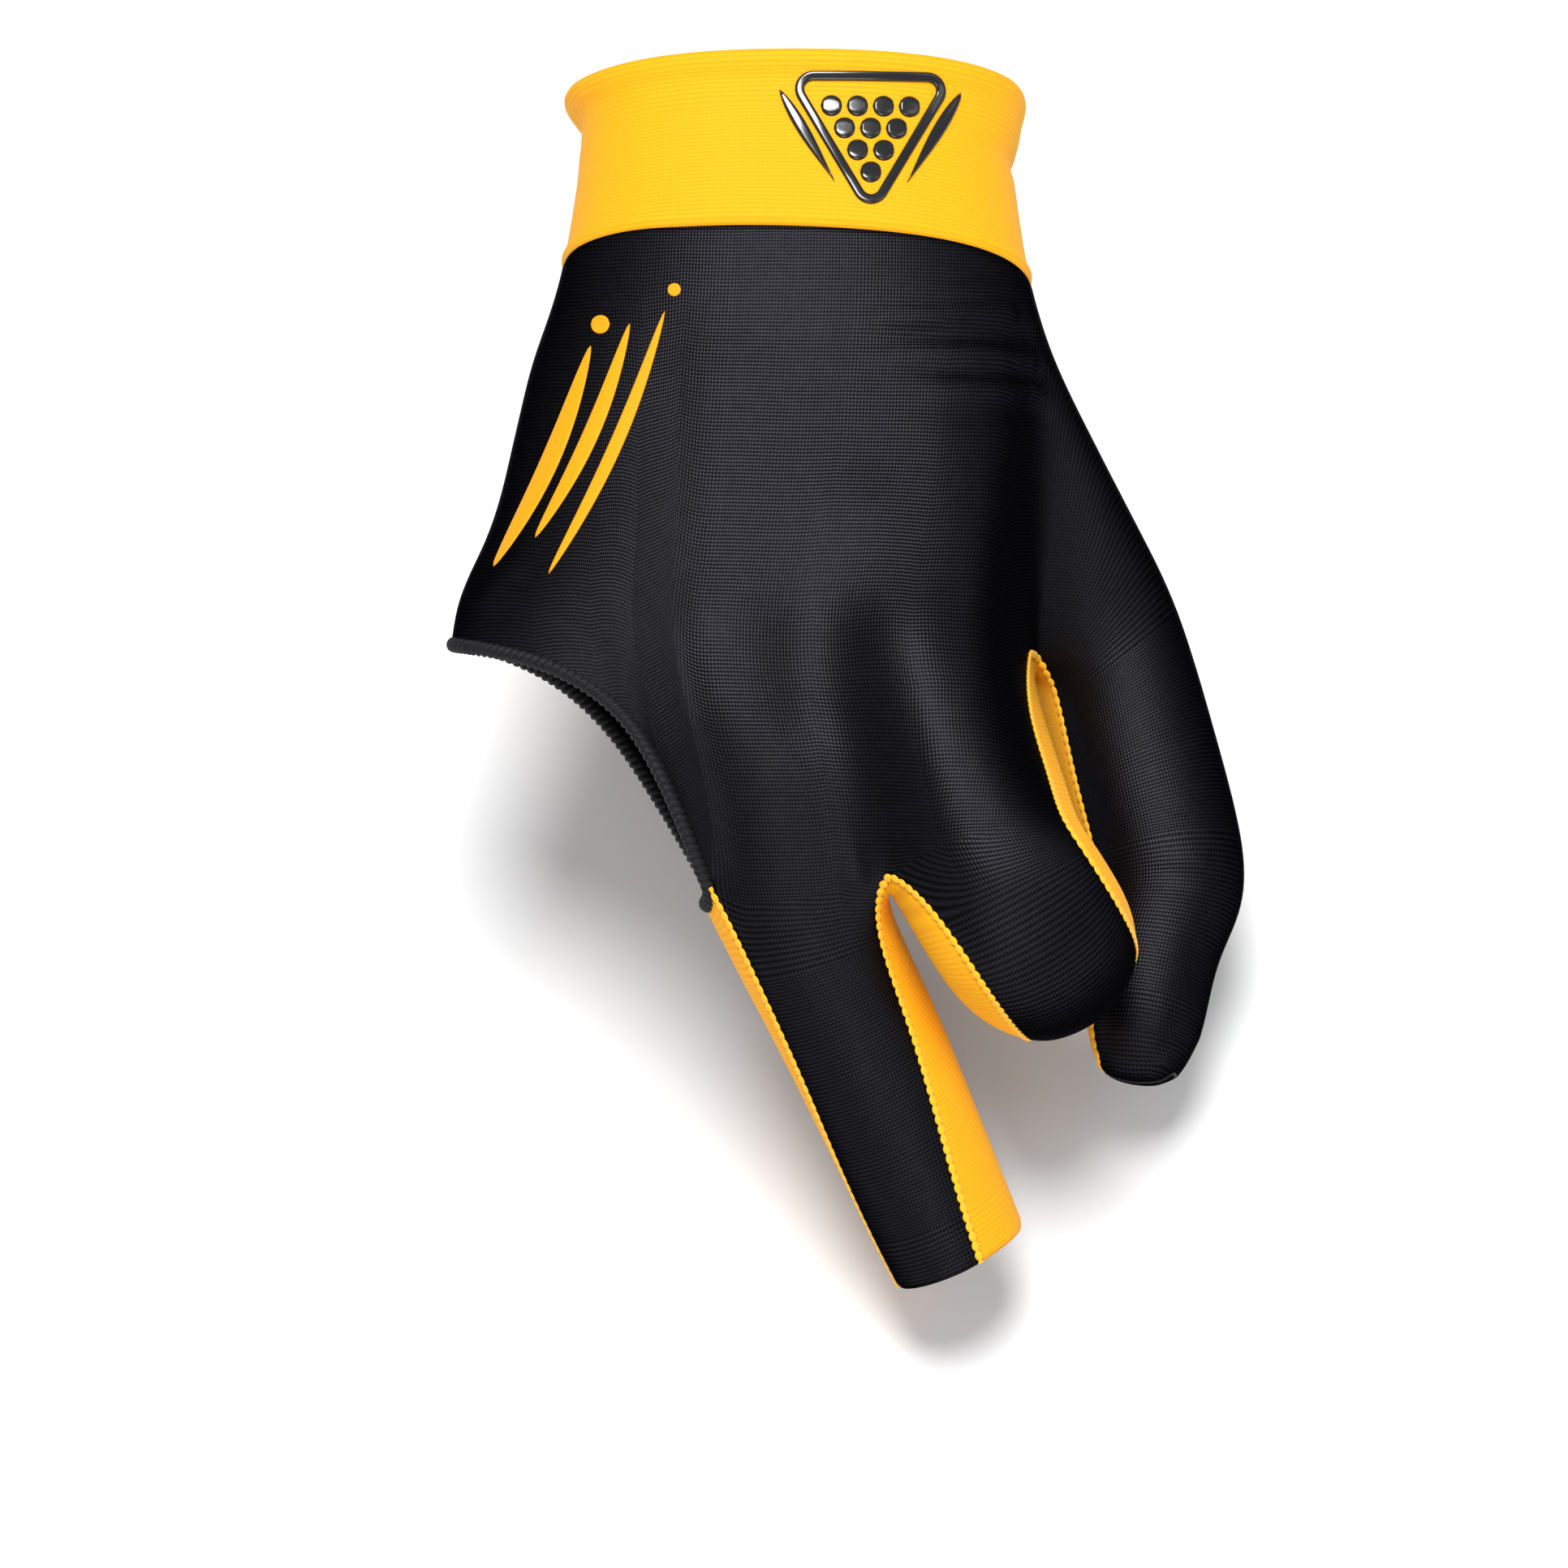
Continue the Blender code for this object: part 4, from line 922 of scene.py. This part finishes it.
# raised prints: strokes and dots laid on the cloth
printLook = {
    "cuff": {"panel": wristband, "material": "blackSiliconePrint", "height": 0.45, "centre": (10.5, 0.2),
             "rack": 19.5, "stroke": 0.7, "dot": 1.55, "dotStep": 0.19, "dotDrop": 0.17, "cornerRound": 1.9,
             "cornerInset": 0.16, "wing": 3.2, "wingLean": 0.40, "wingRun": 0.69, "wingWide": 1.25,
             "shape": cuffShape},
    "back": {"panel": backPanel, "material": "yellowPlastisolPrint", "height": 0.16, "low": (-42.6, -69.0),
             "high": (-27.2, -33.0), "gap": 3.9, "wide": (1.35, 1.15, 0.95), "start": (0.0, 6.0, 2.0),
             "end": (5.0, 0.0, -3.5), "bow": 1.3, "dotGap": 3.4},
}
# how prints lie on the cloth: height over it, depth in it, and for frontSpot the margin round the
# print, the least slant of the cloth, the spread 0.7^2 and how many points it takes at a time
layLook = {"lift": 0.02, "sink": 0.25, "margin": 3.0, "slant": 0.15, "spread": 0.49, "batch": 400}


def frontSpot(xy, panel, shape):
    # height over the hand's plane: mean of the tangent planes of near points, with the weight
    # exp(-distance^2 / spread)
    keep = surfacePanels == panel
    used = np.unique(surfaceFaces[keep])
    points, normals = surfacePoints[used], surfaceNormals[used]
    if shape:
        v = np.zeros(len(surfacePoints))
        v[surfaceFaces[keep].ravel()] = surfaceUv[keep].reshape(-1, 2)[:, 1]
        points = shape(points, normals, v[used])
    low, high = xy.min(axis=0) - layLook["margin"], xy.max(axis=0) + layLook["margin"]
    inside = (points[:, :2] > low).all(axis=1) & (points[:, :2] < high).all(axis=1)
    near = (normals[:, 2] > layLook["slant"]) & inside
    points, normals = points[near], normals[near]
    z, normal = np.zeros(len(xy)), np.zeros((len(xy), 3))
    for first in range(0, len(xy), layLook["batch"]):
        part = slice(first, first + layLook["batch"])
        dx = xy[part, None, :] - points[None, :, :2]
        weight = np.exp(-(dx ** 2).sum(axis=2) / layLook["spread"]) + 1e-12
        plane = points[:, 2] - (dx * (normals[:, :2] / normals[:, 2:])[None]).sum(axis=2)
        total = weight.sum(axis=1)
        z[part] = (weight * plane).sum(axis=1) / total
        normal[part] = (weight @ normals) / total[:, None]
    return np.column_stack((xy, z)), unit(normal)


printShare = np.array((-1.0, -0.93, -0.72, -0.36, 0.0, 0.36, 0.72, 0.93, 1.0))    # across a stroke
printCrown = np.array((0.0, 0.62, 0.93, 1.0, 1.0, 1.0, 0.93, 0.62, 0.0))          # its height there


def strokeGrid(path, half, closed):
    # points across a flat line: path + sideways * share * half, tapering where half is an array
    ahead = pathAhead(path, closed)
    sideways = np.column_stack((-ahead[:, 1], ahead[:, 0]))
    half = np.broadcast_to(half, (len(path),))
    return path[:, None] + sideways[:, None] * (half[:, None] * printShare[None])[..., None]


def layPrint(name, grids, look):
    # each grid: top points raised by the crown, bottom points sunk in the cloth, walls all round
    places, faces, count = [], [], 0
    for grid, closed in grids:
        n, m = grid.shape[:2]
        crown = np.tile(printCrown, (n, 1))
        if not closed:
            crown[0], crown[-1] = 0.0, 0.0
        spot, normal = frontSpot(grid.reshape(-1, 2), look["panel"], look.get("shape"))
        top = spot + normal * (look["height"] * crown.reshape(-1, 1) + layLook["lift"])
        low = spot - normal * layLook["sink"]
        i = np.arange(n if closed else n - 1)
        j = np.arange(m - 1)
        k, left, leftNext, end = n * m, i * m, (i + 1) % n * m, (n - 1) * m + j
        right, rightNext = left + m - 1, leftNext + m - 1
        a, b = (left[:, None] + j).ravel(), (leftNext[:, None] + j).ravel()
        quads = np.column_stack((a, b, b + 1, a + 1))
        sides = [np.column_stack((left, left + k, leftNext + k, leftNext)),
                 np.column_stack((right, rightNext, rightNext + k, right + k))]
        if not closed:
            sides += [np.column_stack((j, j + 1, j + 1 + k, j + k)),
                      np.column_stack((end, end + k, end + 1 + k, end + 1))]
        faces.append(np.vstack([quads, quads[:, ::-1] + k, *sides]) + count)
        places += [top, low]
        count += 2 * k
    return makeMesh(name, np.vstack(places), np.vstack(faces))


def dotGrid(centre, radius):
    # a dot is a short stroke whose half width follows a circle
    t = np.linspace(-1.0, 1.0, 13)
    path = np.column_stack((centre[0] + radius * t, np.full(13, centre[1])))
    return strokeGrid(path, radius * np.sqrt(np.maximum(1.0 - t ** 2, 0.004)), False), False


def cuffMotif(look):
    # a rounded triangle with ten dots in four rows
    side, (cx, cy) = look["rack"], look["centre"]
    corners = np.array([(cx - 0.5 * side, cy), (cx, cy - 0.866 * side), (cx + 0.5 * side, cy)])
    outline = []
    middle = corners.mean(axis=0)
    for k in range(3):
        inset = corners[k] + (middle - corners[k]) * look["cornerInset"]
        start = math.atan2(corners[k][1] - middle[1], corners[k][0] - middle[0])
        angle = start + np.linspace(-1.05, 1.05, 9)
        outline.append(inset + look["cornerRound"] * np.column_stack((np.cos(angle), np.sin(angle))))
    outline = evenPath(np.vstack(outline), 0.4, True)
    grids = [(strokeGrid(outline, look["stroke"], True), True)]
    step = side * look["dotStep"]
    for row in range(4):
        for k in range(4 - row):
            x = cx + (k - 0.5 * (3 - row)) * step
            grids.append(dotGrid((x, cy - look["dotDrop"] * side - row * step * 0.87), look["dot"]))
    for turn in (-1.0, 1.0):
        t = np.linspace(0.0, 1.0, 25)
        x = cx + turn * (0.5 * side + look["wing"] - look["wingLean"] * side * t)
        path = np.column_stack((x, cy - 1.0 - look["wingRun"] * side * t))
        half = look["wingWide"] * look["stroke"] * np.maximum(np.sin(math.pi * t ** 0.7), 0.05)
        grids.append((strokeGrid(path, half, False), False))
    return grids


def backMotif(look):
    # slanted bars that taper at both ends, staggered, with a dot past two of them
    low, high = np.array(look["low"]), np.array(look["high"])
    along = (high - low) / np.linalg.norm(high - low)
    across = np.array((along[1], -along[0]))
    grids = []
    for k, (wide, first, last) in enumerate(zip(look["wide"], look["start"], look["end"])):
        start = low + across * look["gap"] * k + along * first
        end = high + across * look["gap"] * k - along * last
        t = np.linspace(0.0, 1.0, 70)[:, None]
        path = start + (end - start) * t + across * look["bow"] * np.sin(math.pi * t)
        half = wide * np.maximum(np.sin(math.pi * t[:, 0]) ** 0.6, 0.04)
        grids.append((strokeGrid(path, half, False), False))
        if last != 0.0:
            grids.append(dotGrid(end + along * look["dotGap"], wide))
    return grids


cuffPrint = layPrint("cuffRackPrint", cuffMotif(printLook["cuff"]), printLook["cuff"])
backPrint = layPrint("backBarsPrint", backMotif(printLook["back"]), printLook["back"])
dress(cuffPrint, "", printLook["cuff"]["material"])
dress(backPrint, "", printLook["back"]["material"])
print("prints laid")

# studio
studioLook = {"floorDrop": -0.076, "floorHalf": 3.0, "worldStrength": 0.44, "aim": (0.0, -0.09, 0.0)}
floorMesh = bpy.data.meshes.new("studioFloor")
floorMesh.from_pydata([(x * studioLook["floorHalf"], y * studioLook["floorHalf"], studioLook["floorDrop"])
                       for x, y in ((-1, -1), (1, -1), (1, 1), (-1, 1))],
                      [], [(0, 1, 2, 3)])
floor = bpy.data.objects.new("studioFloor", floorMesh)
floorMesh.materials.append(plainMaterial("paintedStudioFloor", "#f4f4f4", 0.9, 0.2))
bpy.context.scene.collection.objects.link(floor)

world = bpy.data.worlds.new("paleStudio")
world.use_nodes = True
world.node_tree.nodes["Background"].inputs[0].default_value = linear("#f5f7fa")
world.node_tree.nodes["Background"].inputs[1].default_value = studioLook["worldStrength"]
bpy.context.scene.world = world

# name, place in hand-frame metres, size in metres, power in watts
lampRows = (
    ("softboxHigh", (-0.06, 0.60, 1.05), 0.55, 17.0),
    ("softboxFront", (0.06, -0.70, 1.15), 0.8, 4.5),
    ("softboxRight", (0.85, 0.25, 0.90), 0.6, 1.2),
)
for name, place, size, power in lampRows:
    data = bpy.data.lights.new(name, "AREA")
    data.shape = "DISK"
    data.size = size
    data.energy = power
    lamp = bpy.data.objects.new(name, data)
    bpy.context.scene.collection.objects.link(lamp)
    spot = leanTurn @ np.array(place)
    lamp.location = spot
    aim = leanTurn @ np.array(studioLook["aim"]) - spot
    lamp.rotation_euler = Vector(aim).to_track_quat("-Z", "Y").to_euler()
print("studio lit")
